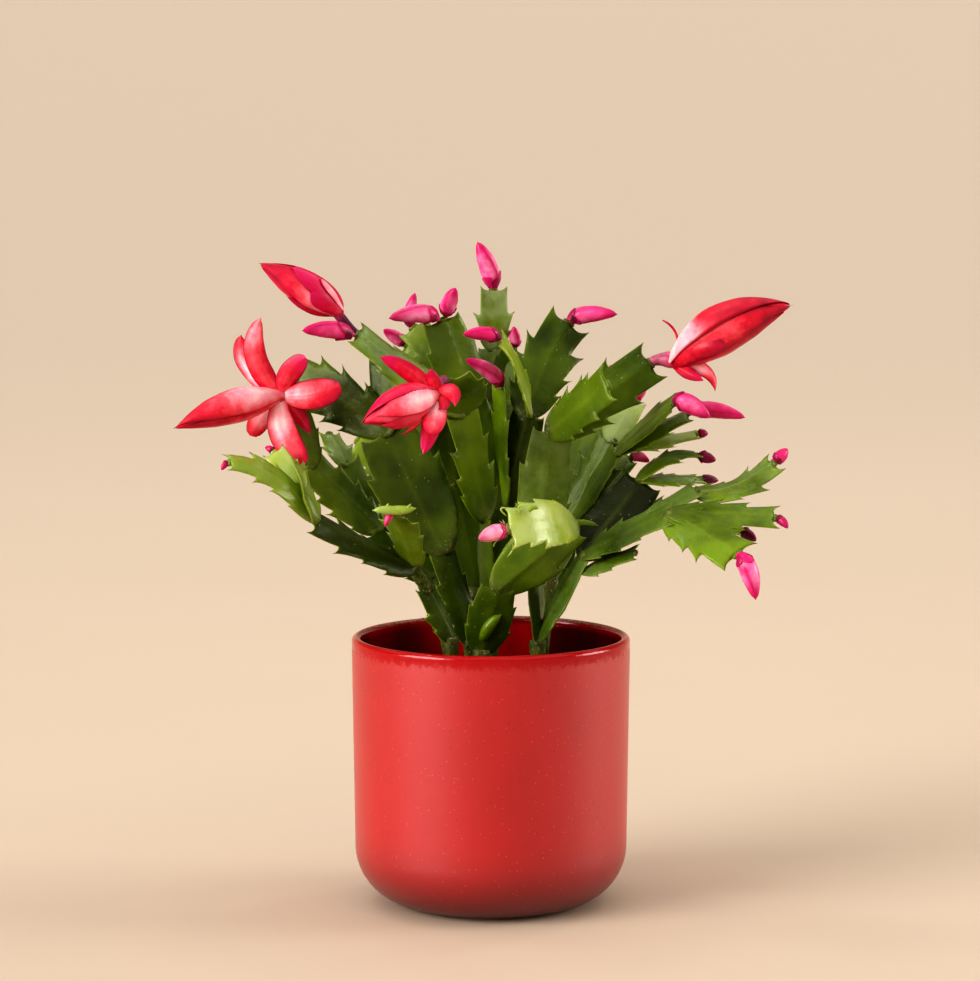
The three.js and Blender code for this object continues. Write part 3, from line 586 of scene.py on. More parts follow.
class Spine:
    """A curved line whose middle bows aside. Past its end it runs straight on."""

    def __init__(self, start, end, bow=NO_BOW, middle=None):
        self.start, self.end = Vector(start), Vector(end)
        self.middle = middle or (self.start + self.end) / 2 + 2 * Vector(bow)
        self.length = (self.end - self.start).length

    def way(self, u):
        first, second = self.middle - self.start, self.end - self.middle
        return first.lerp(second, min(max(u, 0), 1)).normalized()

    def place(self, u):
        if u > 1:
            return self.end + self.way(1) * (u - 1) * self.length
        return self.start.lerp(self.middle, u).lerp(self.middle.lerp(self.end, u), u)

    def axes(self, u, face):
        """The directions out of a blade's face and across it, at one place."""
        along, face = self.way(u), Vector(face)
        out = (face - along * face.dot(along)).normalized()
        return out, out.cross(along)


def full_turn(sides):
    """The angles of one full turn, evenly parted."""
    return [side / sides * 2 * math.pi for side in range(sides)]


def hoop(middle, across, out, reach, sides):
    """A round ring of points about a middle."""
    return [middle + (across * math.cos(turn) + out * math.sin(turn)) * reach for turn in full_turn(sides)]


# %% [markdown]
# ## The edge of a pad
#
# From its narrow root a pad widens to its first tooth. Each tooth is a claw: the edge swings out
# in a hollow curve to a point that leans forward, then hooks back to a notch where the next
# curve begins. Two horns stand at the corners of the tip. Older pads are broad with blunt teeth;
# some show hardly any. A little chance moves each tooth, seeded by the pad's own joints.

# %% Pad edges
# How wide a pad's body is at each share of its length.
BODY = [(0, 0.2), (0.1, 0.48), (0.3, 0.86), (0.5, 0.98), (0.7, 0.94), (0.88, 0.78), (1.0, 0.6)]
# Each kind: its teeth as (where the notch lies, how far the claw stands out, how deep the notch
# is, how far the claw leans ahead), then where its horn ends and how wide the flat tip is.
EDGES = {
    "toothed": dict(horn=(1.06, 0.74), tip=(0.985, 0.32),
                    teeth=[(0.37, 0.13, 0.18, 0.035), (0.63, 0.17, 0.24, 0.045)]),
    "clawed": dict(horn=(1.05, 0.76), tip=(0.985, 0.34),
                   teeth=[(0.28, 0.12, 0.16, 0.03), (0.5, 0.14, 0.22, 0.035), (0.73, 0.18, 0.26, 0.04)]),
    "broad": dict(horn=(1.02, 0.68), tip=(0.985, 0.42),
                  teeth=[(0.42, 0.06, 0.07, 0.02), (0.72, 0.08, 0.12, 0.03)]),
    "smooth": dict(horn=(1.01, 0.7), tip=(0.98, 0.55),
                   teeth=[(0.45, 0.02, 0.04, 0.01), (0.78, 0.05, 0.08, 0.015)]),
    "fingered": dict(horn=(1.02, 0.62), tip=(0.985, 0.42),
                     teeth=[(0.4, 0.03, 0.05, 0.02), (0.62, 0.24, 0.16, 0.13)]),
    "curled": dict(horn=(1.04, 0.9), tip=(0.97, 0.5),
                   teeth=[(0.34, 0.05, 0.05, 0.02), (0.62, 0.1, 0.2, 0.05), (0.8, 0.2, 0.26, 0.06)]),
}
# A toothed pad longer than this, in millimetres, has one tooth more.
CLAWED_FROM = 33
RISE_STEPS = 7
HOOK_STEPS = 5


def bezier(points, share):
    """A point of the curve that a few flat control points pull."""
    while len(points) > 1:
        pairs = zip(points, points[1:])
        points = [(x0 + (x1 - x0) * share, y0 + (y1 - y0) * share) for (x0, y0), (x1, y1) in pairs]
    return points[0]


def pad_edge(kind, chance):
    """One edge from root to tip, as (along, half width) shares, and where its notches are."""
    form = EDGES[kind]
    turns = []
    for place, claw, dip, lean in form["teeth"]:
        place += chance.uniform(-0.04, 0.04)
        width, grown = blend(BODY, place), chance.uniform(0.75, 1.2)
        turns.append(((place + lean * grown, width * (1 + claw * grown)), (place, width * (1 - dip * grown))))
    turns.append((form["horn"], form["tip"]))
    here, edge = (0, BODY[0][1]), [(0, BODY[0][1])]
    for index, (tip, notch) in enumerate(turns):
        run, climb = tip[0] - here[0], tip[1] - here[1]
        early, late = (0.8, 0.72) if index == 0 else (0.3, 0.42)
        rise = [here, (here[0] + run * 0.32, here[1] + climb * early),
                (here[0] + run * 0.74, here[1] + climb * late), tip]
        back, drop = tip[0] - notch[0], tip[1] - notch[1]
        hook = [tip, (notch[0] + back * 0.3, tip[1] - drop * 0.3),
                (notch[0] - back * 0.1, notch[1] + drop * 0.3), notch]
        edge += [bezier(rise, step / RISE_STEPS) for step in range(1, RISE_STEPS + 1)]
        edge += [bezier(hook, step / HOOK_STEPS) for step in range(1, HOOK_STEPS + 1)]
        here = notch
    return edge, [notch for _, notch in turns]


# %% [markdown]
# ## A sheet over any outline
#
# A claw that hooks back can't be reached by rows of points that run straight across. So the
# pad's flat outline is filled with triangles, with loose points inside it, and each point is
# then lifted to both faces. The deeper a point lies inside the edge, the thicker the flesh.

# %% Sheet
# How far apart the loose points lie, and how far the row behind the edge lies inside it.
GRID_ALONG, GRID_ACROSS = 2.2, 1.8
RIM = 0.45


def depth_inside(x, y, outline):
    """How far a flat point lies inside a closed outline; below zero outside it."""
    nearest, inside = 1e9, False
    for (x0, y0), (x1, y1) in zip(outline, outline[1:] + outline[:1]):
        if (y0 > y) != (y1 > y) and x < x0 + (y - y0) * (x1 - x0) / (y1 - y0):
            inside = not inside
        run, climb = x1 - x0, y1 - y0
        share = min(1, max(0, ((x - x0) * run + (y - y0) * climb) / (run * run + climb * climb)))
        nearest = min(nearest, math.hypot(x - x0 - run * share, y - y0 - climb * share))
    return nearest if inside else -nearest


def inner_points(outline, length, width):
    """Loose points inside an outline: a row close behind its edge, and a grid."""
    points = []
    for (x0, y0), (x1, y1), (x2, y2) in zip(outline, outline[1:] + outline[:1], outline[2:] + outline[:2]):
        away = Vector((y2 - y0, x0 - x2))
        for side in (RIM, -RIM):
            x, y = Vector((x1, y1)) + away.normalized() * side
            if depth_inside(x, y, outline) > RIM * 0.7:
                points.append((x, y))
    rows, columns = round(length / GRID_ALONG), round(width * 0.7 / GRID_ACROSS)
    for row in range(rows + 2):
        for column in range(-columns, columns + 1):
            x, y = row * length / rows, (column + (0.5 if row % 2 and column else 0)) * GRID_ACROSS
            if depth_inside(x, y, outline) > GRID_ALONG * 0.45:
                points.append((x, y))
    return points


def add_sheet(tissue, outline, length, width, place, tone):
    """place(x, y, depth, side) is a point of one face, place(..., 0) of the edge itself."""
    flat = [Vector(point) for point in outline + inner_points(outline, length, width)]
    found, _, faces, *_ = geometry.delaunay_2d_cdt(flat, [], [list(range(len(outline)))], 1, 1e-4)
    uses = {}
    for face in faces:
        for pair in zip(face, face[1:] + face[:1]):
            uses[frozenset(pair)] = uses.get(frozenset(pair), 0) + 1
    rim = {index for pair, count in uses.items() if count == 1 for index in pair}
    depths = [max(0, depth_inside(x, y, outline)) for x, y in found]
    depths = [0 if index in rim else depth for index, depth in enumerate(depths)]
    over = [len(tissue.points) + index for index in range(len(found))]
    for index, ((x, y), depth) in enumerate(zip(found, depths)):
        tissue.points.append(place(x, y, depth, 0 if index in rim else 1))
        tissue.tones.append(tone(x, y, depth))
    under = list(over)
    for index, ((x, y), depth) in enumerate(zip(found, depths)):
        if index not in rim:
            under[index] = len(tissue.points)
            tissue.points.append(place(x, y, depth, -1))
            tissue.tones.append(tone(x, y, depth))
    for face in faces:
        tissue.faces.append(tuple(over[index] for index in face))
        tissue.faces.append(tuple(under[index] for index in reversed(face)))


# %% [markdown]
# ## The pads themselves
#
# The flesh is thickest along the midrib and thin at the edge, and faint side veins run from the
# midrib up to the notches. Edges wave a little, and the whole blade is slightly cupped, so that
# light slides over it. At each joint sits a corky knuckle, and from the notches come short
# bristles.

# %% Pads
SINK = 2.6
EDGE_HALF = 0.2
FLESH_HALF = 0.75
RIB_HALF, RIB_WIDTH = 0.5, 1.3
VEIN_HALF, VEIN_WIDTH = 0.16, 0.5
STEM_ROWS, STEM_SIDES = 24, 22
KNUCKLE_SIDES = 16
HORN_ROWS, HORN_SIDES = 12, 12
bristles = Tissue("along")


def add_pad(tissue, start, end, width, face, bow, kind, age_and_shade, wax_and_sheen, seed):
    """A pad from one joint to the next, rooted a little way back in the last one."""
    chance = random.Random(seed)
    spine = Spine(start - (end - start).normalized() * SINK, end, bow)
    length, half = spine.length, width / 2
    wave, turn, cup = chance.uniform(0.025, 0.055), chance.uniform(0, 6.28), chance.uniform(-0.06, 0.06)
    keel = chance.uniform(0.02, 0.1) * chance.choice((-1, 1))
    age_and_shade = max(0, age_and_shade + chance.uniform(-0.06, 0.06))
    if kind == "toothed" and length > CLAWED_FROM:
        kind = "clawed"
    (left, left_notches), (right, right_notches) = pad_edge(kind, chance), pad_edge(kind, chance)
    outline = [(x * length, y * half) for x, y in [*right, (1.0, 0)]]
    outline += [(x * length, -y * half) for x, y in reversed(left)]
    veins = [(x * length, y * half) for x, y in right_notches]
    veins += [(x * length, -y * half) for x, y in left_notches]

    def vein(x, y):
        """How close a point is to a side vein, which runs from the midrib up to a notch."""
        close = 0
        for ahead, reach in veins:
            if y * reach > 0:
                share = min(1, y / reach)
                off = x - ahead + 0.55 * abs(reach) * (1 - share ** 0.8)
                close = max(close, math.exp(-((off / VEIN_WIDTH) ** 2)) * (1 - share * 0.6))
        return close

    def place(x, y, depth, side):
        s, v = x / length, min(1.3, abs(y) / half)
        out, across = spine.axes(s, face)
        neck = blend([(0, 0.8), (0.14, 0), (0.93, 0), (1.0, 0.3)], s) * max(0, 1 - v)
        flesh = EDGE_HALF + FLESH_HALF * (1 - math.exp(-depth / 1.5))
        flesh += RIB_HALF * math.exp(-((y / RIB_WIDTH) ** 2))
        flesh = flesh + neck + VEIN_HALF * vein(x, y)
        ripple = wave * math.sin(s * 9 + turn + (1.3 if y > 0 else -1.1)) * v * v
        lift = width * (ripple + cup * v * v + keel * v * (1 - 0.35 * v))
        return spine.place(s) + across * y + out * (side * flesh + lift)

    def tone(x, y, depth):
        s = x / length
        cork = blend([(0, 0.8), (0.1, 0.2), (0.2, 0), (0.95, 0), (1, 0.25)], s) * max(0, 1 - abs(y) / width)
        rib = math.exp(-((y / 0.9) ** 2)) * blend([(0, 0), (0.15, 1), (0.75, 0.7), (1, 0)], s)
        return (age_and_shade, math.exp(-depth / 0.3), max(rib, 0.35 * vein(x, y)), cork, wax_and_sheen)

    add_sheet(tissue, outline, length, width, place, tone)
    notches = right_notches[:-1] + [(x, -y) for x, y in left_notches[:-1]]
    return spine, [(place(x * length, y * half, 0, 0), math.copysign(1, y), x) for x, y in notches]


def add_stem(tissue, start, end, width, seed):
    """A woody stem: a rough ridged rod, a little thinner in its middle."""
    spine = Spine(start - (end - start).normalized() * SINK, end + (end - start).normalized() * 0.6)
    rings, tones = [], []
    for row in range(STEM_ROWS + 1):
        u = row / STEM_ROWS
        out, across = spine.axes(u, FRONT)
        girth = width / 2 * (0.78 + 0.6 * (u - 0.45) ** 2 + 0.1 * math.exp(-(((u - 0.95) / 0.05) ** 2)))
        ring = []
        for turn in full_turn(STEM_SIDES):
            ray = across * math.cos(turn) + out * math.sin(turn) * 0.85
            rough = 1 + 0.16 * noise.noise(ray * 1.6 + Vector((0, 0, u * 7 + seed)))
            rough += 0.07 * noise.noise(ray * 5 + Vector((0, 0, u * 22 + seed)))
            ring.append(spine.place(u) + ray * girth * rough)
        rings.append(ring)
        cork = blend([(0, 0.9), (0.6, 0.5), (0.8, 0.35), (0.93, 0.95), (1, 1)], u)
        tones.append([(0.7, 0, 0, min(1, cork + 0.2 * noise.noise(point * 0.4)), 0.2) for point in ring])
    tissue.add_skin(rings, tones)


def add_knuckle(tissue, spine, face, width, age_and_shade):
    """The small corky cushion between two pads."""
    wide, deep = width * 0.09 + 0.5, 1.25
    rings, tones = [], []
    for row in range(8):
        lean = math.pi * (row + 0.15) / 7.3
        u = 1 - 1.2 * math.cos(lean) / spine.length
        out, across = spine.axes(min(u, 1), face)
        ring = []
        for side, turn in enumerate(full_turn(KNUCKLE_SIDES)):
            reach = math.sin(lean) * (1 + 0.16 * noise.noise(Vector((side * 0.8, row * 0.8, width))))
            ray = across * math.cos(turn) * wide + out * math.sin(turn) * deep
            ring.append(spine.place(u) + ray * reach)
        rings.append(ring)
        tones.append([(age_and_shade, 0, 0, 0.1 + 0.5 * age_and_shade, 0)] * KNUCKLE_SIDES)
    tissue.add_skin(rings, tones)


def add_horn(tissue, start, tip, bow, girth, age_and_shade):
    """A curled claw or a rolled lobe: a round horn that thins to a soft tip."""
    spine = Spine(start, tip, bow)
    rings, tones = [], []
    for row in range(HORN_ROWS + 1):
        u = 1 - (1 - row / HORN_ROWS) ** 1.5
        out, across = spine.axes(u, FRONT)
        reach = girth / 2 * blend([(0, 0.75), (0.35, 1), (0.8, 0.7), (1, 0.12)], u)
        rings.append(hoop(spine.place(u), across, out, reach, HORN_SIDES))
        tones.append([(age_and_shade, 0.3 * u, 0, 0, 0.5 if age_and_shade < 0.3 else 0)] * HORN_SIDES)
    tissue.add_skin(rings, tones)


def add_bristle(place, way, length, girth):
    """One stiff hair: a thin three-sided cone."""
    side = way.orthogonal().normalized()
    other = way.cross(side)
    form = ((0, 1), (0.6, 0.7), (1, 0.1))
    rings = [hoop(place + way * length * share, side, other, girth * size, 3) for share, size in form]
    bristles.add_skin(rings, [[(share,)] * 3 for share, _ in form])


def add_tuft(place, way, count, length, chance, girth=0.07):
    """A few bristles that spread from one point."""
    for _ in range(count):
        lean = Vector([chance.uniform(-1, 1) for _ in range(3)]) * 0.7
        add_bristle(place, (way + lean).normalized(), length * chance.uniform(0.6, 1.1), girth)


# %% [markdown]
# ## The growth plan
#
# Every joint of the plant, in millimetres from the foot of the pot. These are the same joints
# as the frame's solids have, so each fine shoot lies where its solid does.

# %% Joints
STEM_FOOT = 74
JOINTS = {
    "a_foot": (-15, -6, STEM_FOOT), "a0": (-17, -8, 116), "a1": (-28, -14, 139), "a2": (-33, -18, 148),
    "a3": (-74, -42, 171), "a4": (-108, -54, 196), "a5": (-82, -34, 194), "a6": (-80, -38, 184),
    "a7": (-91, -30, 198), "a8": (-41, -46, 174),

    "b_foot": (-16, 12, STEM_FOOT), "b0": (-18, 14, 111), "b1": (-27, 22, 139), "b2": (-50, 20, 160),
    "b3": (-78, 8, 189), "b4": (-83, -2, 214), "b5": (-64, 26, 188), "b6": (-71, 34, 200),

    "d_foot": (-8, 3, STEM_FOOT), "d0": (-9, 4, 113), "d1": (-21, 1, 152), "d2": (-45, -2, 204),
    "d3": (-85, 20, 226), "d4": (-46, 8, 234),

    "e_foot": (-2, 12, STEM_FOOT), "e1": (-3, 10, 130), "e2": (-3, 3, 167), "e3": (-13, -12, 213),
    "e4": (-19, -32, 228), "e5": (-57, -14, 247),

    "f_foot": (-5, -12, STEM_FOOT), "f0": (-4, -12, 111), "f1": (3, -20, 139), "f2": (35, -22, 166),
    "f3": (7, -66, 170),

    "r_foot": (21, -7, STEM_FOOT), "r0": (20, -6, 114), "r1": (19, -4, 152), "r2": (26, -10, 205),
    "r3": (49, -36, 227), "r4": (68, -6, 234),

    "s1": (40, -14, 153), "s2": (76, -32, 172), "s3": (119, -36, 171), "s4": (102, -56, 158),
    "s5": (105, -22, 164), "s6": (41, -16, 146), "s7": (61, -26, 155), "s8": (65, 0, 183),
    "s9": (89, 8, 193), "s10": (91, 16, 182), "s11": (88, -8, 180), "s12": (121, -4, 191),

    "g_foot": (-3, 24, STEM_FOOT), "g0": (3, 22, 133), "g1": (6, 20, 170), "g2": (4, 12, 222),
    "g3": (3, 32, 215), "g4": (1, 38, 238), "g5": (1, 40, 263), "g6": (-9, 20, 216),
    "g7": (-21, 18, 251), "g8": (-34, 30, 247), "g9": (16, 10, 211), "g10": (4, 2, 243),
    "g12": (34, 30, 249), "g13": (10, 40, 237), "g14": (-37, 34, 239),

    "h_foot": (19, 14, STEM_FOOT), "h0": (26, 14, 140), "h1": (35, 20, 163), "h2": (53, 18, 199),
    "h3": (62, 28, 215), "h4": (55, 11, 195), "h5": (78, -8, 217), "h6": (85, 2, 212),
    "h7": (89, 12, 202), "h9": (61, 26, 190),

    "k_foot": (-14, 26, STEM_FOOT), "k0": (-22, 40, 125), "k1": (-30, 62, 170), "k2": (-42, 92, 205),
    "k3": (-60, 66, 194),

    "m_foot": (20, 26, STEM_FOOT), "m0": (24, 36, 125), "m1": (34, 58, 170), "m2": (48, 90, 208),
    "m3": (60, 62, 188),

    "n_foot": (-8, 36, STEM_FOOT), "n0": (-6, 44, 130), "n1": (2, 68, 178), "n2": (-8, 98, 214),
    "n3": (20, 92, 224), "n4": (-16, 42, 178), "n5": (-20, 40, 214),
}
JOINTS = {name: Vector(place) for name, place in JOINTS.items()}
print("joints:", len(JOINTS))

# %% [markdown]
# A stem is (from, to, width). A pad is (from, to, width, the way its face looks, its age, its
# grey wax, its kind, how far its middle bows aside). Age and wax run from 0 to 1. From about
# 0.85 to a little past 1, age also paints deep shade into a pad's colour; wax runs past 1 under
# thick wax, and on the young curled pad in front it also paints a pale highlight. The ages were
# judged from the photo: new growth is at the tips, and the darkest pads are low and behind. A
# horn is (from, to, how far it bows aside, its girth, its age): the claws and lobes that curl off
# the two young pads in front.

# %% Shoots
SHOOTS = {
    "shoot_left_low": dict(
        stems=[("a_foot", "a0", 6.5), ("a1", "a2", 7)],
        pads=[
            ("a0", "a1", 14, (0.8, -0.6, 0), 0.75, 0.1),
            # Its age past 1 paints deep shade into this pad.
            ("a2", "a3", 21, (0, -0.6, 0.8), 1.06, 0, "toothed", (0, 0, -1)),
            ("a3", "a4", 16, (-0.2, -0.55, 0.8), 0.38, 0.1, "toothed", (0, 0, 6)),
            ("a3", "a5", 20, (1, -0.2, 0.3), 0.3, 0.2),
            ("a6", "a7", 13, (0.2, -1, 0.2), 0.15, 0.5),
            ("a2", "a8", 18, (-0.3, -0.9, 0.35), 0.38, 0.1, "toothed", (0, 0, 3)),
        ],
        horns=[
            ((-37, -49.5, 175), (-49, -51, 175.8), (0, 0, 0.6), 3.9, 0.12),
            ((-43, -49.5, 175.8), (-31, -49, 176.6), (0, 0, -0.4), 4.2, 0.12),
            ((-43, -50, 175.5), (-42.4, -50, 178.8), (-0.4, 0, 0), 1.3, 0.1),
            ((-35, -50, 175.5), (-33, -50, 178.6), (-0.3, 0, 0), 1.3, 0.1),
        ],
    ),
    "shoot_left_back": dict(
        stems=[("b_foot", "b0", 6)],
        pads=[
            ("b0", "b1", 15, (0.5, -0.8, 0), 0.8, 0, "smooth"),
            ("b1", "b2", 20, (0, -0.8, 0.5), 0.85, 0),
            ("b2", "b3", 20, (-0.1, -0.85, 0.5), 0.55, 0.15),
            ("b3", "b4", 17, (-0.3, -0.9, 0.1), 0.8, 0, "broad"),
            ("b2", "b5", 20, (0.1, -0.8, 0.5), 0.5, 0.3),
            ("b5", "b6", 18, (0.4, -0.3, 0.85), 0.45, 0.4),
        ],
    ),
    "shoot_left_tall": dict(
        stems=[("d_foot", "d0", 6.5)],
        pads=[
            ("d0", "d1", 17, (0.5, -0.85, 0), 0.85, 0),
            ("d1", "d2", 34, (0.1, -1, 0.1), 0.88, 0.08, "broad"),
            ("d2", "d3", 25, FRONT, 0.85, 0, "toothed", (-3, 0, 4)),
            ("d2", "d4", 18, (-0.5, -0.85, 0), 0.9, 0),
        ],
    ),
    "shoot_centre": dict(
        stems=[("e_foot", "e1", 8)],
        pads=[
            ("e1", "e2", 14, (-0.9, -0.5, 0), 0.7, 0.1, "smooth"),
            ("e2", "e3", 22, (0.55, -0.8, 0.1), 0.55, 0),
            ("e3", "e4", 32, FRONT, 0.6, 0, "broad"),
            ("e3", "e5", 24, (0.3, -0.5, 0.8), 0.5, 0.35, "broad"),
        ],
    ),
    "shoot_front": dict(
        stems=[("f_foot", "f0", 7.5)],
        pads=[
            ("f0", "f1", 21, (0.1, -1, 0), 0.72, 0, "broad"),
            ("f1", "f2", 26, (0.1, -1, -0.2), 0.52, 0.05, "fingered"),
            # The high wax of this young curled pad also paints a pale highlight at its bend.
            ("f2", "f3", 22, (0.6, -0.6, 0.35), 0.24, 0.6, "curled", (2, -11, 3)),
        ],
        horns=[
            ((6.5, -63.5, 175), (6, -65, 178.5), (-2.2, 0, 1), 0.8, 0.1),
            ((12, -64, 175.5), (15.6, -65, 179.6), (-2.2, 0, 1.6), 0.8, 0.1),
            ((15.5, -64, 177), (19.5, -63, 177.8), (0, 0, 1), 1.8, 0.3),
            ((9, -66, 163.5), (6.6, -67, 158.5), (1, -1, 0.5), 0.8, 0.1),
            ((3.5, -66, 168), (2, -69, 171.5), (-1.4, 0, 0.4), 0.6, 0.1),
            ((3.5, -66, 166), (1.5, -69, 163), (-1.2, 0, -0.6), 0.6, 0.1),
            ((32, -22.5, 166.5), (45.5, -22, 166), (0, 0, 1.3), 2.6, 0.42),
            ((-3.5, -14.6, 116.5), (4.5, -17.8, 127.5), (-0.8, -0.8, 1), 5, 0.5),
        ],
    ),
    "shoot_right": dict(
        stems=[("r_foot", "r0", 7)],
        pads=[
            ("r0", "r1", 14, (0.9, -0.5, 0), 0.72, 0.05, "smooth"),
            ("r1", "r2", 24, FRONT, 0.82, 0.35, "broad"),
            ("r2", "r3", 22, (-0.1, -0.9, 0.45), 0.62, 0),
            ("r2", "r4", 24, (0, -1, 0.3), 0.75, 0),
            ("r0", "s1", 15, (-0.8, -0.45, 0.4), 0.6, 0.25, "smooth"),
            ("s1", "s2", 20, (-0.2, -0.55, 0.8), 0.72, 0.2),
            ("s6", "s7", 14, (0, -0.5, 0.85), 0.68, 0.3),
            ("s2", "s3", 20, (0, -0.5, 0.85), 0.58, 0.05),
            ("s2", "s4", 26, (0.2, -0.8, 0.5), 0.56, 0),
            ("s2", "s5", 13, (0, -0.3, 0.95), 0.3, 0, "smooth"),
            # Its age past 1 paints deep shade into this pad, which lies in shadow.
            ("s1", "s8", 26, (-0.3, -0.8, 0.45), 1.2, 0, "broad"),
            ("s8", "s9", 16, (-0.3, -0.25, 0.9), 0.65, 0, "toothed", (0, 0, 4)),
            ("s8", "s10", 14, (0, -0.35, 0.95), 0.45, 0),
            ("s1", "s11", 20, (-0.3, -0.35, 0.85), 0.6, 0.4),
            ("s11", "s12", 20, (-0.1, -0.4, 0.9), 0.5, 0.35, "toothed", (0, 0, -5)),
        ],
    ),
    "shoot_back_tall": dict(
        stems=[("g_foot", "g0", 8)],
        pads=[
            ("g0", "g1", 16, (0.3, -0.9, 0), 0.85, 0, "smooth"),
            ("g1", "g2", 18, (-0.85, -0.4, 0), 0.42, 0),
            ("g1", "g3", 22, (0.2, -0.9, 0), 0.9, 0.5, "smooth"),
            ("g3", "g4", 18, FRONT, 0.6, 0.7, "smooth"),
            ("g4", "g5", 17, (0.3, -0.95, 0), 0.5, 1.2),
            ("g1", "g6", 20, (0.3, -0.9, 0), 0.8, 0, "smooth"),
            ("g6", "g7", 24, (0.3, -0.9, 0.1), 0.55, 0.15, "broad"),
            ("g6", "g8", 20, (0.2, -1, 0), 0.4, 0.3),
            ("g1", "g9", 20, (-0.3, -0.9, 0), 0.9, 0, "smooth"),
            ("g9", "g10", 18, (0.75, -0.3, 0.6), 0.3, 0, "toothed", (2, 0, 2)),
            ("g9", "g12", 26, FRONT, 0.95, 0, "toothed", (-2, 0, 1)),
            ("g6", "g14", 14, FRONT, 0.4, 0.3, "smooth"),
            ("g3", "g13", 16, (0.4, -0.9, 0), 0.7, 0, "smooth"),
        ],
    ),
    "shoot_right_back": dict(
        stems=[("h_foot", "h0", 7)],
        pads=[
            ("h0", "h1", 14, (0.6, -0.7, 0.2), 0.75, 0, "smooth"),
            ("h1", "h2", 22, (-0.3, -0.8, 0.5), 0.65, 0.5),
            ("h2", "h3", 16, (-0.2, -0.9, 0.2), 0.35, 0.8),
            ("h1", "h4", 16, (-0.6, -0.5, 0.6), 0.65, 0.1, "smooth"),
            ("h4", "h5", 20, (-0.2, -0.5, 0.85), 0.6, 0, "broad"),
            ("h4", "h6", 18, (0, -0.4, 0.9), 0.55, 0),
            ("h4", "h7", 14, (0, -0.3, 0.95), 0.25, 0.3),
            ("h1", "h9", 16, (-0.3, -0.5, 0.8), 0.6, 0.3, "smooth"),
        ],
    ),
    "shoot_behind_left": dict(
        stems=[("k_foot", "k0", 8)],
        pads=[
            ("k0", "k1", 20, (-0.2, 0.6, 0.8), 0.85, 0, "broad"),
            ("k1", "k2", 26, (-0.2, 0.5, 0.8), 0.6, 0),
            ("k1", "k3", 22, (-0.4, 0.6, 0.7), 0.5, 0.2),
        ],
    ),
    "shoot_behind_right": dict(
        stems=[("m_foot", "m0", 8)],
        pads=[
            ("m0", "m1", 20, (0.2, 0.6, 0.8), 0.8, 0, "broad"),
            ("m1", "m2", 26, (0.2, 0.5, 0.8), 0.65, 0),
            ("m1", "m3", 22, (0.4, 0.6, 0.7), 0.45, 0.2),
        ],
    ),
    "shoot_behind_middle": dict(
        stems=[("n_foot", "n0", 8)],
        pads=[
            ("n0", "n1", 20, (0.1, 0.8, 0.6), 0.85, 0, "broad"),
            ("n0", "n4", 22, FRONT, 0.9, 0, "broad"),
            ("n4", "n5", 22, FRONT, 0.9, 0, "smooth"),
            ("n1", "n2", 26, (-0.1, 0.7, 0.7), 0.6, 0.1),
            ("n1", "n3", 22, (0.3, 0.8, 0.4), 0.7, 0.2),
        ],
    ),
}

pad_spines = {}
for shoot_name, shoot in SHOOTS.items():
    tissue = Tissue("age_and_shade", "margin", "rib", "wood", "wax_and_sheen")
    for start, end, width in shoot["stems"]:
        add_stem(tissue, JOINTS[start], JOINTS[end], width, len(pad_spines))
    for start, end, width, face, age_and_shade, wax_and_sheen, *rest in shoot["pads"]:
        kind, bow = (*rest, NO_BOW)[:2] if rest else ("toothed", NO_BOW)
        foot, tip = JOINTS[start], JOINTS[end]
        spine, notches = add_pad(tissue, foot, tip, width, face, bow, kind, age_and_shade, wax_and_sheen, start + end)
        pad_spines[end] = spine
        add_knuckle(tissue, spine, face, width, age_and_shade)
        chance = random.Random(end)
        add_tuft(spine.place(1), spine.way(1), 5, 1.5, chance)
        for place, side, share in notches:
            out, across = spine.axes(share, face)
            add_tuft(place, (across * side + spine.way(share)).normalized(), 2, 0.9, chance)
    for horn in shoot.get("horns", []):
        add_horn(tissue, *horn)
    tissue.grow(shoot_name, PAD, slot="green_pads")
print("shoots:", len(SHOOTS), "pads:", len(pad_spines))

# %% [markdown]
# ## Buds
#
# A bud is a smooth egg of folded petals with small scales round its base. The folds could be
# painted, but they catch the light, so the egg's radius steps down softly at three twisting
# seams. Each scale is a thin curved blade that hugs the egg and lifts at its tip.

# %% Bud shapes
BUD_FORM = [
    (0, 0.42), (0.1, 0.56), (0.26, 0.86), (0.46, 1.0), (0.68, 0.92), (0.84, 0.66), (0.95, 0.34), (1.0, 0.04),
]
BUD_ROWS, BUD_SIDES = 30, 36
FOLDS, FOLD_STEP = 3, 0.07
# How far a bud's foot stands from its pad, how early it leans over, and how far its tip stays
# back, so that the seams and scales keep inside the form of the solid.
SEAT_GAP, LEAN, TIP_ROOM = 0.35, 0.3, 0.12
ASLANT = (0.3, -0.9, 0.31)


def growth_line(joint, tip, aside=NO_BOW):
    """The line of what grows from a pad's tip: it leaves the way the pad runs, then leans over."""
    spine = pad_spines[joint]
    way, shift = spine.way(1), Vector(aside)
    foot = spine.end + shift + way * (SEAT_GAP - shift.dot(way))
    middle = foot + way * (tip - foot).length * LEAN
    return Spine(foot, tip + (middle - tip).normalized() * TIP_ROOM, middle=middle)


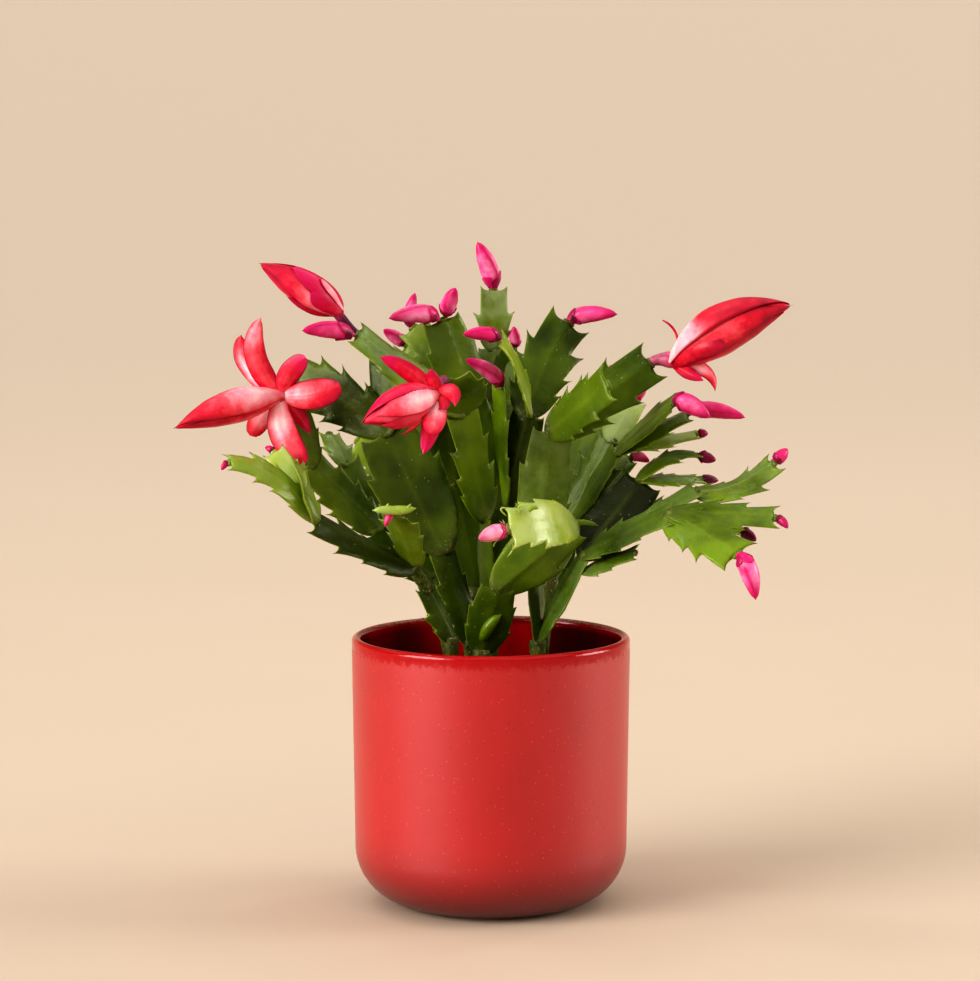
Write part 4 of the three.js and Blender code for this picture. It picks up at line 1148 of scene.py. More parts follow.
def add_bud_body(tissue, spine, width, ripe, turn):
    """The egg of folded petals, with its seams."""
    rings, tones = [], []
    for row in range(BUD_ROWS + 1):
        u = 1 - (1 - row / BUD_ROWS) ** 1.25
        out, across = spine.axes(u, ASLANT)
        ring, ring_tones = [], []
        folded = blend([(0.1, 0), (0.45, 1), (0.85, 1), (1, 0.2)], u)
        # Where each fold swells a painted highlight lies, strongest midway along the bud.
        middle = blend([(0.15, 0), (0.42, 1), (0.72, 0.8), (0.95, 0)], u)
        for side, angle in enumerate(full_turn(BUD_SIDES)):
            share = (side / BUD_SIDES * FOLDS + turn + u * 0.35) % 1
            sunk = share - math.exp(-share / 0.06) if share < 0.5 else share
            radius = blend(BUD_FORM, u) * width / 2 * (1 - FOLD_STEP * folded * max(0, sunk))
            ring.append(spine.place(u) + (across * math.cos(angle) + out * math.sin(angle)) * radius)
            # Along each seam a painted shade darkens the skin.
            seam = math.exp(-(((1 - share) / 0.07) ** 2)) * folded
            ring_tones.append((u, middle * math.sin(math.pi * share), ripe, seam))
        rings.append(ring)
        tones.append(ring_tones)
    tissue.add_skin(rings, tones)


SCALE_FORM = [(0, 0.75), (0.4, 1), (0.75, 0.8), (0.93, 0.4), (1, 0.04)]
SCALE_STEPS = (-1, -0.85, -0.5, 0, 0.5, 0.85, 1)


def add_scale(tissue, spine, form, width, start, end, turn, span, lift, tones, thickness,
              rows=12, slant=0.0, shape=SCALE_FORM):
    """A thin blade that hugs a spindle of the given form from start to end along its spine."""
    rings, ring_tones = [], []
    for row in range(rows + 1):
        a = 1 - (1 - row / rows) ** 1.4
        u = start + (end - start) * a
        spread = span * blend(shape, a)
        out, across = spine.axes(min(u, 1), ASLANT)
        outer, inner, marks = [], [], []
        for b in SCALE_STEPS:
            angle = turn + b * spread
            radius = blend(form, u) * width / 2 * (1 + 0.05 * slant * b) + lift * a * a + 0.2 * (1 - b * b)
            ray = across * math.cos(angle) + out * math.sin(angle)
            outer.append(spine.place(u) + ray * radius)
            inner.append(spine.place(u) + ray * max(0.04, radius - thickness))
            marks.append(tones(a, b))
        rings.append(outer + inner[::-1])
        ring_tones.append(marks + marks[::-1])
    tissue.add_skin(rings, ring_tones)


BUD_SCALES = 5


def grow_bud(name, joint, tip, width, ripe, aside=NO_BOW):
    """One bud: its folded body and the scales that climb round its base."""
    tissue = Tissue("along", "swell_sheen", "ripe", "seam_shade")
    spine = growth_line(joint, Vector(tip), aside)
    chance = random.Random(name)
    turn = chance.random()
    add_bud_body(tissue, spine, width, ripe, turn)
    for index in range(BUD_SCALES):
        start = 0.01 + 0.02 * index
        end = start + chance.uniform(0.2, 0.27) + 0.03 * index
        angle = (turn + index * 0.382) * 2 * math.pi
        deep = min(ripe, 1) * (0.26 + 0.09 * index)
        # A scale's edges carry a little painted shade.
        add_scale(tissue, spine, BUD_FORM, width * 1.03, start, end, angle, 1.0, 0.16 + 0.08 * (index % 2),
                  lambda a, b, deep=deep: (a * 0.5, 0.0, deep, 0.35 * abs(b) ** 3), thickness=0.25)
    tissue.grow(name, BUD, slot="bud_scales")


# %% [markdown]
# Buds are (the joint they sit on, their tip, their width, how ripe and pink they are, and how
# far the foot stands from the joint where two share it). The brown and purple ones on the
# right are still small and unripe.

# %% Buds
BUDS = {
    "bud_top": ("g5", (-6, 38, 284), 8.6, 0.95),
    "bud_top_right": ("g12", (55, 24, 253), 7.8, 0.75),
    "bud_trio_left": ("g7", (-44, 8, 252), 8.6, 1.12, (-3, -2, 0)),
    "bud_trio_right": ("g7", (-15, 12, 265), 7.4, 0.9, (3, 1, 0)),
    "bud_trio_back": ("g8", (-33, 32, 262), 6, 0.8),
    "bud_half_hidden": ("g14", (-47, 30, 246), 6, 0.9),
    "bud_arched": ("g10", (-12, -6, 246), 6.4, 0.6),
    "bud_inner": ("g2", (-11, 2, 235), 7.3, 0.9),
    "bud_behind": ("g13", (10, 38, 247), 5.2, 0.8),
    "bud_beside_bloom": ("e5", (-79, -30, 249), 7.8, 0.7, (0.5, -4, -2.5)),
    "bud_pair_left": ("h5", (93, -14, 211), 8.6, 0.85),
    "bud_pair_right": ("h6", (109, 0, 210), 7.3, 0.65),
    "bud_round": ("h3", (68, 30, 221), 5.6, 0.8),
    "bud_brown": ("h7", (94, 12, 202), 3.9, 0.3),
    "bud_short": ("h9", (69, 20, 189), 4.8, 0.85),
    "bud_purple": ("s9", (97, 6, 191), 5.2, 0.25),
    "bud_dark": ("s10", (99, 18, 181), 4.3, 0.15),
    "bud_far_right": ("s12", (127, -2, 197), 5.6, 0.6),
    "bud_low_right": ("s3", (124, -40, 167), 3.9, 0.4),
    "bud_low_dark": ("s5", (112, -26, 160), 4.8, 0.2),
    "bud_hanging": ("s4", (109, -62, 140), 8.2, 0.9),
    "bud_front": ("f3", (-5, -76, 167), 6.9, 1.6),
    "bud_tiny": ("a8", (-44, -51, 169), 3.2, 0.75),
    "bud_tiny_left": ("a7", (-95, -28, 200), 3, 0.5),
    "bud_tip_left": ("a4", (-111, -56, 193), 2.6, 0.5),
    "bud_behind_left": ("k2", (-48, 104, 222), 7.5, 0.9),
    "bud_behind_right": ("m2", (56, 102, 226), 7.5, 0.7),
    "bud_behind_middle": ("n3", (24, 100, 240), 7, 0.85),
}
for bud_name, bud in BUDS.items():
    grow_bud(bud_name, *bud)
print("buds:", len(BUDS))

# %% [markdown]
# The large pale bud in front sits in a ring of woolly hairs, longer and thicker than the others.

# %% Woolly ring
WOOL_TUFTS, WOOL_TURN, WOOL_REACH, WOOL_LENGTH, WOOL_GIRTH = 12, 0.524, 2.3, 2.6, 0.13
woolly = pad_spines["f3"]
out, across = woolly.axes(1, FRONT)
for index in range(WOOL_TUFTS):
    ray = across * math.cos(index * WOOL_TURN) + out * math.sin(index * WOOL_TURN)
    way = (ray + woolly.way(1) * 0.5).normalized()
    add_tuft(woolly.place(1.02) + ray * WOOL_REACH, way, 3, WOOL_LENGTH, random.Random(index), WOOL_GIRTH)
print("tufts round the front bud:", WOOL_TUFTS)

# %% [markdown]
# ## Blooms
#
# A bloom has a smooth mauve foot, a bundle of petals still folded forward, and other petals
# that have bent open round it. Folded petals are scales on a spindle that each overlap the
# next, so their edges show as real steps. Open petals are blades with a hollow middle and a
# tip that bends back.

# %% Bloom shapes
BUNDLE_FORM = [
    (0, 0.34), (0.08, 0.52), (0.2, 0.82), (0.4, 1.04), (0.62, 0.9), (0.8, 0.56), (0.93, 0.22), (1.0, 0.03),
]
FOLD_FORM = [(0, 0.86), (0.35, 1), (0.65, 0.92), (0.87, 0.6), (1, 0.08)]
PETAL_FORMS = {
    "strap": [(0, 0.5), (0.12, 0.78), (0.3, 1.0), (0.58, 0.98), (0.8, 0.74), (0.93, 0.42), (1.0, 0.06)],
    "oval": [(0, 0.36), (0.12, 0.72), (0.32, 1.0), (0.55, 0.92), (0.78, 0.66), (0.93, 0.38), (1.0, 0.06)],
    "square": [(0, 0.36), (0.12, 0.62), (0.35, 0.95), (0.55, 1.0), (0.78, 0.88), (0.93, 0.64), (1.0, 0.34)],
    "taper": [(0, 0.7), (0.2, 0.96), (0.45, 1.0), (0.7, 0.8), (0.88, 0.5), (1.0, 0.06)],
    "slim": [(0, 0.4), (0.2, 0.8), (0.42, 1.0), (0.7, 0.74), (0.88, 0.36), (1.0, 0.03)],
}
PETAL_ROWS = 22
PETAL_HALF = 0.28
# How far from a petal's midline its rows of points run, as shares of its half width.
COLUMNS = (0.13, 0.3, 0.52, 0.75, 0.92)
FOOT_ROWS, BUNDLE_ROWS, BLOOM_SIDES = 14, 24, 24


def blushing(stops, streak):
    """A petal's colour at each place: along its middle by its stops, redder towards its edges."""
    def at(s, v):
        return blend(stops, s) + (0.36 + streak) * abs(v) ** 3
    return at


# Each: the colour's stops along the middle, and how much more than usual the edges redden.
BLUSHES = {
    "pale": blushing([(0, 0.12), (0.35, 0.1), (0.6, 0.3), (0.85, 0.5), (1, 0.6)], 0.05),
    "coral": blushing([(0, 0.14), (0.25, 0.3), (0.5, 0.46), (0.8, 0.58), (1, 0.72)], 0.0),
    "red": blushing([(0, 0.36), (0.25, 0.5), (0.6, 0.62), (1, 0.8)], -0.1),
    "deep": blushing([(0, 0.54), (0.4, 0.7), (1, 0.86)], -0.1),
    "tipped": blushing([(0, 0.44), (0.3, 0.52), (0.55, 0.46), (0.8, 0.24), (1, 0.3)], -0.02),
    # Painted highlight: a pale patch near the base of the right bloom's top fold.
    "painted_highlight": blushing([(0, 0.04), (0.24, 0.15), (0.42, 0.7), (0.7, 0.78), (1, 0.84)], -0.12),
    "fading": blushing([(0, 0.16), (0.3, 0.14), (0.5, 0.38), (0.7, 0.58), (1, 0.76)], 0.1),
    "streaked": blushing([(0, 0.54), (0.3, 0.58), (0.5, 0.5), (0.7, 0.72), (1, 0.86)], 0.05),
}


def add_petal(tissue, heart, tip, width, bow, face, blush, form, magenta, cup, curl):
    """An open petal from the heart to its tip; magenta is the share of its tip that is purplish."""
    spine = Spine(heart, tip, bow)
    turn = random.Random(str(tip)).uniform(0, 6.28)
    rings, tones = [], []
    for row in range(PETAL_ROWS + 1):
        s = 1 - (1 - row / PETAL_ROWS) ** 1.5
        half = blend(PETAL_FORMS[form], s) * width / 2
        out, across = spine.axes(s, face)

        def corner(side, v, level):
            flesh = PETAL_HALF * (1 - 0.6 * v) + 0.3 * math.exp(-((v / 0.25) ** 2)) * (1 - s * 0.7)
            wave = 0.04 * width * v * v * math.sin(s * 7 + turn + side)
            lift = wave - cup * width * v * v * math.sin(math.pi * s) + curl * max(0, s - 0.6) ** 2 * 14
            purple = magenta * blend([(0, 0), (0.55, 0.1), (1, 1)], s)
            streak = 0.1 * noise.noise(Vector((v * 7, s * 1.6, turn * 9)))
            place = spine.place(s) + across * side * v * half + out * (level * flesh + lift)
            return place, (BLUSHES[blush](s, v) + streak, v, min(1, purple + 0.3 * magenta * v ** 3), 0.0)

        ring = [corner(-1, 1, 0)]
        ring += [corner(-1, v, 1) for v in reversed(COLUMNS)] + [corner(-1, 0, 1)]
        ring += [corner(1, v, 1) for v in COLUMNS] + [corner(1, 1, 0)]
        ring += [corner(1, v, -1) for v in reversed(COLUMNS)] + [corner(1, 0, -1)]
        ring += [corner(-1, v, -1) for v in COLUMNS]
        rings.append([place for place, _ in ring])
        tones.append([tone for _, tone in ring])
    tissue.add_skin(rings, tones)


def add_foot(tissue, spine, thin, thick, shade):
    """The smooth mauve foot under a bloom, flaring to a rim that holds the petals."""
    rings, tones = [], []
    for row in range(FOOT_ROWS + 1):
        u = row / FOOT_ROWS
        out, across = spine.axes(u, ASLANT)
        radius = thin + (thick - thin) * blend([(0, 0), (0.4, 0.35), (0.75, 1.0), (1, 0.85)], u)
        rings.append(hoop(spine.place(u), across, out, radius, BLOOM_SIDES))
        mauve = blend([(0, 1), (0.6, 1), (0.85, 0.35), (1, 0.1)], u)
        tones.append([(shade, 0.3, 0.4, mauve)] * BLOOM_SIDES)
    tissue.add_skin(rings, tones)


class FrontSpine(Spine):
    """A spine whose rings are turned from the front, upward, whichever way it points."""

    def axes(self, u, face):
        along = self.way(u)
        front = (Vector(FRONT) - along * Vector(FRONT).dot(along)).normalized()
        up = front.cross(along)
        return (up if up.z > 0 else -up), front


def add_bundle(tissue, start, tip, radius, bow, folds):
    """Folded petals: (where its middle lies in degrees from the front upward, its spread, where
    it begins and ends, its blush, its magenta). Each one's lower edge lies over the next."""
    spine = FrontSpine(start, tip, bow)
    spine.end = spine.end + (spine.middle - spine.end).normalized() * TIP_ROOM
    for layer, (turn, spread, begin, end, blush, magenta) in enumerate(folds):
        size = 2 * radius * (1 + 0.045 * (len(folds) - 1 - layer))

        def tones(a, b, turn=turn, begin=begin, end=end, blush=blush, magenta=magenta):
            s = begin + (end - begin) * a
            streak = 0.1 * noise.noise(Vector((b * 5, s * 2, turn)))
            purple = magenta * blend([(0, 0.35), (0.5, 0.55), (1, 1)], a)
            return (BLUSHES[blush](s, b * 0.9) + streak, abs(b), purple, 0.0)

        add_scale(tissue, spine, BUNDLE_FORM, size, begin, end, math.radians(turn), math.radians(spread), 0,
                  tones, thickness=0.5, rows=26, slant=-1, shape=FOLD_FORM)
    rings, tones = [], []
    for row in range(BUNDLE_ROWS + 1):
        u = row / BUNDLE_ROWS * 0.96
        up, front = spine.axes(u, FRONT)
        rings.append(hoop(spine.place(u), front, up, blend(BUNDLE_FORM, u) * radius * 0.93, BLOOM_SIDES))
        tones.append([(0.7, 0.9, 0, 0)] * BLOOM_SIDES)
    tissue.add_skin(rings, tones)


# %% [markdown]
# The four blooms follow the photo petal by petal. Each has its pad's joint, the heart where its
# petals spring, its foot's (thin radius, thick radius, shade), and its folded petals, as above.
# Each open petal is (tip, width, bow, the way its outside looks, its blush, its form, its
# magenta, how hollow it is, how far its tip bends back).

# %% Blooms
BLOOMS = {
    "bloom_open": dict(
        joint="b4", foot=(2.4, 3.2, 0.5),
        heart=(-90, -12, 220), tip=(-133, -32, 208), radius=6.3, bow=(0, -1, 2),
        folds=[(33, 68, 0, 1, "fading", 0.0), (-62, 50, 0, 0.97, "red", 0.0), (-140, 60, 0, 0.98, "red", 0.2),
               (140, 64, 0, 0.95, "coral", 0.0)],
        petals=[
            ((-97.5, -10, 253.5), 9.5, (-6.5, -2, 0), FRONT, "tipped", "strap", 0.0, 0.12, -0.4),
            ((-106.5, -2, 245.5), 8.5, (-6, 2, 0), FRONT, "pale", "strap", 0.1, 0.12, -0.4),
            ((-78, -18, 237), 9.5, (-2, -1, 1), FRONT, "red", "square", 0.8, 0.14, 0.4),
            ((-63.5, -20, 225), 13, (0, -3, -1.5), FRONT, "coral", "square", 0.15, 0.14, 0.8),
            ((-80, -10, 212), 8, (2, 1, -1), FRONT, "deep", "oval", 0.9, 0.1, 0),
            ((-78, -24, 193), 12.5, (-4.5, -3, -1), FRONT, "pale", "square", 0.15, 0.16, 0.6),
            ((-76.5, -14, 204), 7, (1, 1, 0), FRONT, "deep", "slim", 0.3, 0.1, 0),
            ((-101.5, -4, 203), 9.5, (-2.5, 1, -1), FRONT, "pale", "square", 0.0, 0.1, 0.8),
        ],
    ),
    "bloom_top_left": dict(
        joint="e5", foot=(1.7, 2.2, 1.0),
        heart=(-65, -12, 256), tip=(-98, -20, 277), radius=6.6, bow=(1, 0, 1),
        folds=[(0, 32, 0, 0.42, "deep", 0.9), (60, 28, 0, 0.4, "pale", 0.5), (56, 58, 0, 0.7, "deep", 0.95),
               (8, 62, 0, 1, "fading", 0.25), (-70, 56, 0, 0.94, "red", 0.5),
               (160, 70, 0, 0.98, "deep", 0.7)],
        petals=[
            ((-86, -20, 263), 5, (-0.5, -1, -1.5), FRONT, "deep", "slim", 1.0, 0.12, 0.3),
            ((-80, -10, 273), 8, (3, 1, 3), (0, -0.3, 1), "deep", "slim", 1.0, 0.12, 0),
            ((-83, -3, 268), 8, (0, 3, 0), (0, 1, 0), "red", "slim", 0.6, 0.12, 0),
        ],
    ),
    "bloom_centre": dict(
        joint="e4", foot=(1.8, 2.4, 0.8),
        heart=(-24, -46, 223), tip=(-53, -64, 213), radius=7.3, bow=(0, -2, 1),
        folds=[(6, 36, 0.02, 0.84, "pale", 0.2), (-58, 42, 0, 0.8, "coral", 0.3), (78, 50, 0, 1, "red", 0.6),
               (-6, 44, 0.2, 1, "pale", 0.3), (-140, 60, 0, 0.97, "deep", 0.3),
               (150, 60, 0, 0.97, "red", 0.0)],
        petals=[
            ((-45.6, -52, 239.6), 7.5, (0, -2, 2), FRONT, "red", "taper", 1.0, 0.12, 0.4),
            ((-25, -50, 234.5), 6.5, (0, -1, 0), FRONT, "red", "taper", 0.8, 0.12, 0),
            ((-14.8, -56, 219.5), 8, (2.5, -3, 3), FRONT, "red", "slim", 0.3, 0.14, 0.9),
            ((-19.5, -56, 217.5), 7, (1, -2, 0), FRONT, "red", "taper", 0.2, 0.12, 0.5),
            ((-28, -59, 200), 8.5, (1, -3, 0), FRONT, "red", "taper", 1.0, 0.14, 0),
            ((-25, -64, 209), 10, (1, -3, 0), FRONT, "pale", "square", 0.15, 0.14, 0),
            ((-37, -46, 207), 8, (1, 3, -3), (0.3, 0.2, -1), "red", "slim", 0.2, 0.1, 0),
        ],
    ),
    "bloom_right": dict(
        joint="r4", foot=(2, 3.6, 0.5),
        heart=(79, -8, 234), tip=(128, -14, 259), radius=9, bow=(-2, -1, 4),
        # The first fold's pale base is a painted highlight.
        folds=[(72, 56, 0, 0.97, "painted_highlight", 0.0), (-4, 42, 0.04, 1, "streaked", 0.0),
               (-64, 54, 0, 0.92, "deep", 0.1),
               (-140, 62, 0, 0.97, "deep", 0.0), (140, 62, 0, 0.97, "red", 0.0)],
        petals=[
            ((98, -22, 242), 10, (-0.5, -4, 2.5), FRONT, "deep", "square", 0.2, 0.2, -0.2),
            ((73, -4, 252), 4, (4, 0, 2), (-1, 0, 0.3), "red", "slim", 0.1, 0.1, 0),
            ((95, -12, 222.5), 6.5, (4.5, -1, 3.5), (0.4, -0.9, 0.2), "pale", "slim", 0.05, 0.14, 0),
            ((90, -16, 227), 5.5, (0, -2, 0), FRONT, "deep", "slim", 1.0, 0.12, 0),
        ],
    ),
}
for bloom_name, bloom in BLOOMS.items():
    tissue = Tissue("blush", "edge", "magenta", "mauve")
    heart, tip = Vector(bloom["heart"]), Vector(bloom["tip"])
    way = (tip - heart).normalized()
    add_foot(tissue, growth_line(bloom["joint"], heart + way * bloom["radius"] * 0.2), *bloom["foot"])
    start = heart - way * bloom["radius"] * 0.2
    add_bundle(tissue, start, tip, bloom["radius"], bloom["bow"], bloom["folds"])
    for petal in bloom["petals"]:
        add_petal(tissue, start, *petal)
    tissue.grow(bloom_name, PETAL, slot="bloom_petals")
print("blooms:", len(BLOOMS))

# %% [markdown]
# ## Bristles
#
# The hairs gathered while the pads and the front bud grew become one piece. They are far too
# fine for the plain solids, so they replace none.

# %% Bristles
bristles.grow("areole_bristles", HAIR)
print("bristle points:", len(bristles.points))

# %% [markdown]
# ## The pots
#
# A thrown pot is a turned shape, so its profile is spun round the axis: a flat foot, a wide
# round corner, a wall that opens slightly, and a rounded lip. Each point also learns how far
# it lies from the crest of the lip, counted outward below zero and inward above it.

# %% Turned shapes
POT_RADIUS, POT_HEIGHT, POT_WALL, POT_FLOOR, POT_TAPER = 60, 116, 4, 5, 1.2
FOOT_RADIUS, CORNER_RADIUS = 34, 25
SPIN_STEPS = 160


def arc(x, z, radius, start, stop, steps):
    """Points of a round stretch of a profile, between two angles in degrees."""
    angles = [math.radians(start + (stop - start) * step / steps) for step in range(steps + 1)]
    return [(x + radius * math.cos(angle), z + radius * math.sin(angle)) for angle in angles]


def line(start, stop, steps):
    """Points of a straight stretch of a profile, without its first one."""
    (x0, z0), (x1, z1) = start, stop
    shares = [step / steps for step in range(1, steps + 1)]
    return [(x0 + (x1 - x0) * share, z0 + (z1 - z0) * share) for share in shares]


def spin(tissue, profile, tones):
    """A closed solid of revolution from a profile that starts and ends near the axis."""
    rings = []
    for x, z in profile:
        rings.append([Vector((x * math.cos(turn), x * math.sin(turn), z)) for turn in full_turn(SPIN_STEPS)])
    tissue.add_skin(rings, [[tone] * SPIN_STEPS for tone in tones])


# %% Cover pot
def cover_pot():
    lower, lip = POT_RADIUS - POT_TAPER, POT_WALL / 2
    inner = CORNER_RADIUS - POT_WALL + 1
    outside = [(1, 0.4), (FOOT_RADIUS - 4, 0.4), (FOOT_RADIUS - 3, 0), (FOOT_RADIUS, 0)]
    outside += arc(lower - CORNER_RADIUS, CORNER_RADIUS, CORNER_RADIUS, -84, 0, 20)
    outside += line(outside[-1], (POT_RADIUS, POT_HEIGHT - lip), 12)
    crest = arc(POT_RADIUS - lip, POT_HEIGHT - lip, lip, 0, 180, 14)[1:]
    inside = line(crest[-1], (lower - POT_WALL, POT_FLOOR + inner), 10)
    inside += arc(lower - POT_WALL - inner, POT_FLOOR + inner, inner, 0, -90, 12)[1:] + [(1, POT_FLOOR)]
    profile = outside + crest + inside
    top = max(range(len(profile)), key=lambda index: profile[index][1])
    walked = [0.0]
    for (x0, z0), (x1, z1) in zip(profile, profile[1:]):
        walked.append(walked[-1] + math.hypot(x1 - x0, z1 - z0))
    tissue = Tissue("from_crest")
    spin(tissue, profile, [(place - walked[top],) for place in walked])
    tissue.grow("cover_pot", GLAZE, slot="glazed_pot")


# %% [markdown]
# The nursery pot is spun too, with a stiff collar at its rim. Its drain holes are punched with a
# boolean modifier, because they lie off the axis; the result is kept and the punch thrown away.

# %% Nursery pot
NURSERY_TOP, NURSERY_BOTTOM, NURSERY_BASE, NURSERY_HEIGHT = 52, 36, 5.3, 91
NURSERY_WALL, NURSERY_LIP, NURSERY_COLLAR, NURSERY_BEVEL = 1.2, 1.6, 8, 2
DRAIN_HOLES, DRAIN_RADIUS, DRAIN_RING, PUNCH_DEPTH = 4, 4, 25, 4


def nursery_pot():
    rim = NURSERY_BASE + NURSERY_HEIGHT
    collar, outer = rim - NURSERY_COLLAR, NURSERY_TOP + NURSERY_LIP
    profile = [(1, NURSERY_BASE), (NURSERY_BOTTOM - NURSERY_BEVEL, NURSERY_BASE)]
    profile += [(NURSERY_BOTTOM, NURSERY_BASE + NURSERY_BEVEL)]
    profile += line(profile[-1], (NURSERY_TOP, collar), 8)
    profile += [(NURSERY_TOP + 0.1, collar - 0.1), (outer - 0.2, collar), (outer, collar + 0.3)]
    profile += arc(outer - NURSERY_WALL / 2, rim - NURSERY_WALL / 2, NURSERY_WALL / 2, 0, 180, 8)
    profile += [(NURSERY_TOP - NURSERY_WALL, collar - NURSERY_WALL)]
    inner_floor = NURSERY_BASE + NURSERY_WALL
    profile += [(NURSERY_BOTTOM - NURSERY_WALL, inner_floor), (1, inner_floor)]
    tissue = Tissue("along")
    spin(tissue, profile, [(z / rim,) for _, z in profile])
    piece = tissue.grow("nursery_pot", PLASTIC, slot="nursery_plastic")
    punch = bmesh.new()
    radius = DRAIN_RADIUS * MM
    for turn in full_turn(DRAIN_HOLES):
        spot = Vector((math.cos(turn), math.sin(turn), 0)) * DRAIN_RING + Vector((0, 0, NURSERY_BASE))
        bmesh.ops.create_cone(punch, cap_ends=True, segments=24, radius1=radius, radius2=radius,
                              depth=PUNCH_DEPTH * MM, matrix=Matrix.Translation(spot * MM))
    cutter = bpy.data.objects.new("punch", bpy.data.meshes.new("punch"))
    punch.to_mesh(cutter.data)
    punch.free()
    bpy.context.scene.collection.objects.link(cutter)
    piece.modifiers.new("holes", "BOOLEAN").object = cutter
    bpy.context.view_layer.update()
    punched = bpy.data.meshes.new_from_object(piece.evaluated_get(bpy.context.evaluated_depsgraph_get()))
    piece.modifiers.clear()
    piece.data = punched
    bpy.data.objects.remove(cutter)


# %% [markdown]
# ## Soil
#
# The soil's top is a low mound whose points are pushed up and down by noise at two scales.
# Crumbs of bark and perlite are scattered on it: small lumps, seeded, half sunk.

# %% Soil
SOIL_EDGE, SOIL_TOP, SOIL_MOUND, SOIL_SLUMP, SOIL_GAP = 87, 90.5, 2, 1.5, 0.3
SOIL_RINGS, SOIL_SIDES = 34, 110
# Each: which stuff the crumbs are, as the soil's material reads it, how many, from what size to what size.
CRUMBS = ((0.0, 420, 0.5, 1.5), (0.55, 130, 0.6, 1.9), (1.0, 90, 0.5, 1.3))
CRUMB_ROWS, CRUMB_SIDES = 5, 7


def soil_height(x, y, bank):
    """The soil's height at a place, rough at two scales."""
    share = min(1, math.hypot(x, y) / bank)
    lumps = 1.3 * noise.noise(Vector((x * 0.09, y * 0.09, 3)))
    rough = lumps + 0.8 * noise.noise(Vector((x * 0.4, y * 0.4, 9)))
    return SOIL_TOP + SOIL_MOUND * (1 - share * share) - SOIL_SLUMP + rough * min(1, (1 - share) * 6 + 0.2)


def add_crumb(tissue, place, size, stuff, chance):
    """A small lumpy grain."""
    stretch = [chance.uniform(0.6, 1.3) for _ in range(3)]
    rings = []
    for row in range(CRUMB_ROWS):
        lean = math.pi * (row + 0.4) / (CRUMB_ROWS - 0.2)
        ring = []
        for turn in full_turn(CRUMB_SIDES):
            rough = size * chance.uniform(0.8, 1.15)
            ray = (math.sin(lean) * math.cos(turn), math.sin(lean) * math.sin(turn), -math.cos(lean))
            ring.append(place + Vector([rough * r * s for r, s in zip(ray, stretch)]))
        rings.append(ring)
    tissue.add_skin(rings, [[(stuff,)] * CRUMB_SIDES] * CRUMB_ROWS)


def soil():
    top = NURSERY_TOP - NURSERY_WALL - SOIL_GAP
    bottom = NURSERY_BOTTOM - NURSERY_WALL - SOIL_GAP
    rise = NURSERY_HEIGHT - NURSERY_COLLAR - NURSERY_WALL
    floor_level = NURSERY_BASE + NURSERY_WALL + SOIL_GAP
    bank = bottom + (top - bottom) * (SOIL_EDGE - floor_level) / rise
    tissue = Tissue("stuff")
    levels = [(2, floor_level), (bottom, floor_level), (bank, SOIL_EDGE)]
    levels += [(max(0.8, (bank - 1) * (1 - ring / SOIL_RINGS)), None) for ring in range(SOIL_RINGS + 1)]
    rings = []
    for x, z in levels:
        ring = []
        for turn in full_turn(SOIL_SIDES):
            px, py = x * math.cos(turn), x * math.sin(turn)
            ring.append(Vector((px, py, soil_height(px, py, bank) if z is None else z)))
        rings.append(ring)
    tissue.add_skin(rings, [[(0.0,)] * SOIL_SIDES] * len(rings))
    chance = random.Random("crumbs")
    for stuff, count, small, large in CRUMBS:
        for _ in range(count):
            reach, turn = (bank - 3) * math.sqrt(chance.random()), chance.uniform(0, 2 * math.pi)
            x, y, size = reach * math.cos(turn), reach * math.sin(turn), chance.uniform(small, large)
            add_crumb(tissue, Vector((x, y, soil_height(x, y, bank) + size * 0.2)), size, stuff, chance)
    tissue.grow("soil", SOIL, slot="potting_soil")


cover_pot()
nursery_pot()
soil()
print("pots and soil turned, with", sum(count for _, count, *_ in CRUMBS), "crumbs")

# %% [markdown]
# ## The floor
#
# A wide shallow bowl: flat round the pot, then rising gently all round, so that it is floor and
# backdrop in one from every side, and no horizon cuts the picture. Its matt paint is a little
# darker far away, as the photo's backdrop is: a painted shade for the light that falls off with
# distance.

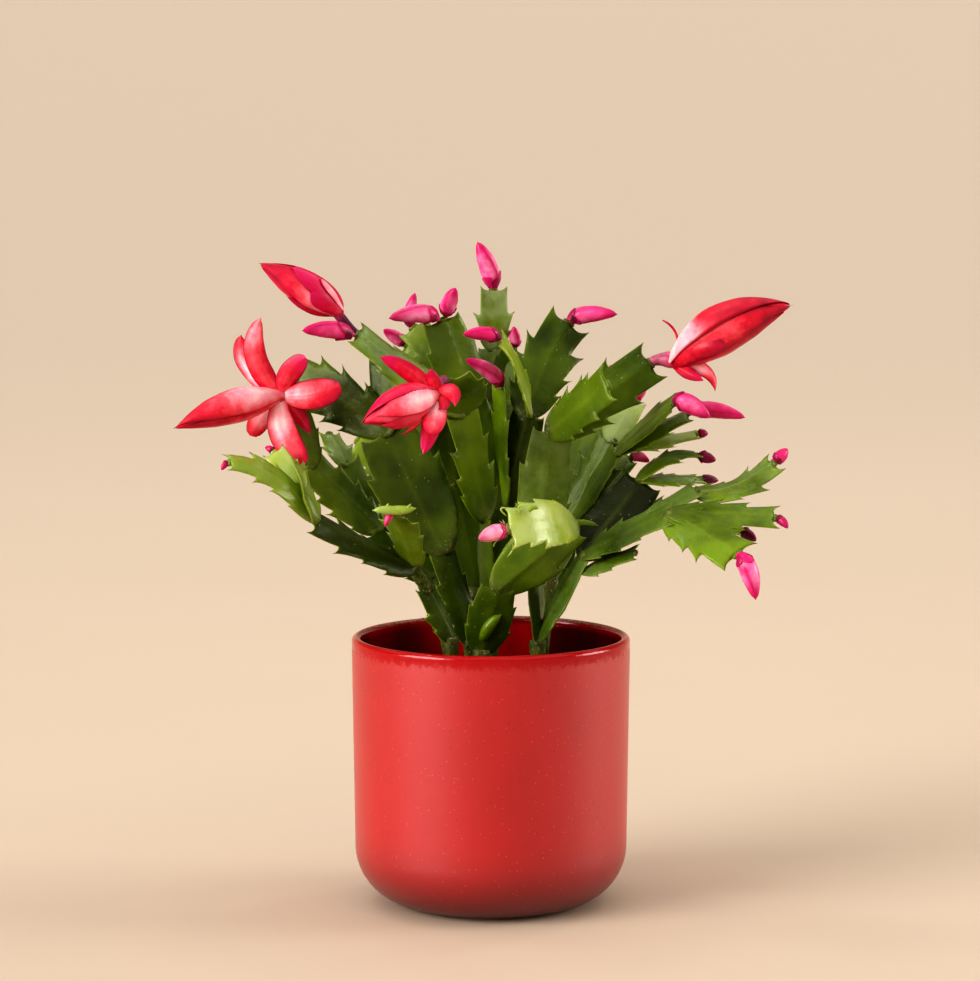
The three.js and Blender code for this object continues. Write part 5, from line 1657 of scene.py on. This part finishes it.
# %% Floor
# In metres: how far it is flat, the radius of its bend, and how far it reaches; its slope in degrees.
FLAT, BEND, REACH, SLOPE, FLOOR_SIDES, BEND_STEPS = 1.0, 8.0, 17.0, 4.4, 96, 10


def floor_paint():
    material, graph, shader = surface("floor_paint")
    near = graph.mottled((204, 187, 168), (203, 186, 167), 5)
    place = graph.add("TexCoord").outputs["Object"]
    away = graph.add("VectorMath", {0: place}, operation="LENGTH").outputs["Value"]
    # Painted shade: the paint darkens away from the middle, for light falling off far from the pot.
    plug(graph, shader, Base_Color=graph.mix(graph.ramp(away, 0.3, 2.6), near, linear(188, 174, 157)))
    bump(graph, shader, graph.grain(300, 2), 0.05, 0.0005)
    settle(shader, {"Roughness": 0.7})
    return material


def studio_floor():
    mesh = bpy.data.meshes.new("floor")
    work = bmesh.new()
    slope = math.radians(SLOPE)
    profile = [(0.02, 0), (0.3, 0), (FLAT, 0)]
    bends = [slope * step / BEND_STEPS for step in range(1, BEND_STEPS + 1)]
    profile += [(FLAT + BEND * math.sin(bend), BEND * (1 - math.cos(bend))) for bend in bends]
    profile += [(REACH, profile[-1][1] + (REACH - profile[-1][0]) * math.tan(slope))]
    rings = []
    for r, z in profile:
        spots = [(r * math.cos(turn), r * math.sin(turn), z) for turn in full_turn(FLOOR_SIDES)]
        rings.append([work.verts.new(spot) for spot in spots])
    work.faces.new(rings[0])
    for low, high in zip(rings, rings[1:]):
        for side in range(FLOOR_SIDES):
            after = (side + 1) % FLOOR_SIDES
            work.faces.new((low[side], high[side], high[after], low[after]))
    bmesh.ops.recalc_face_normals(work, faces=work.faces)
    work.to_mesh(mesh)
    work.free()
    mesh.polygons.foreach_set("use_smooth", [True] * len(mesh.polygons))
    mesh.materials.append(floor_paint())
    floor = bpy.data.objects.new("floor", mesh)
    bpy.context.scene.collection.objects.link(floor)
    floor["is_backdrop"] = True


studio_floor()
print("floor laid")

# %% Sizes
fine_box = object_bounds()
boxes = {name: [list(corner) for corner in box] for name, box in (("solids", SOLID_BOX), ("fine", fine_box))}
for name, box in boxes.items():
    print(name, [round(value, 4) for corner in box for value in corner])
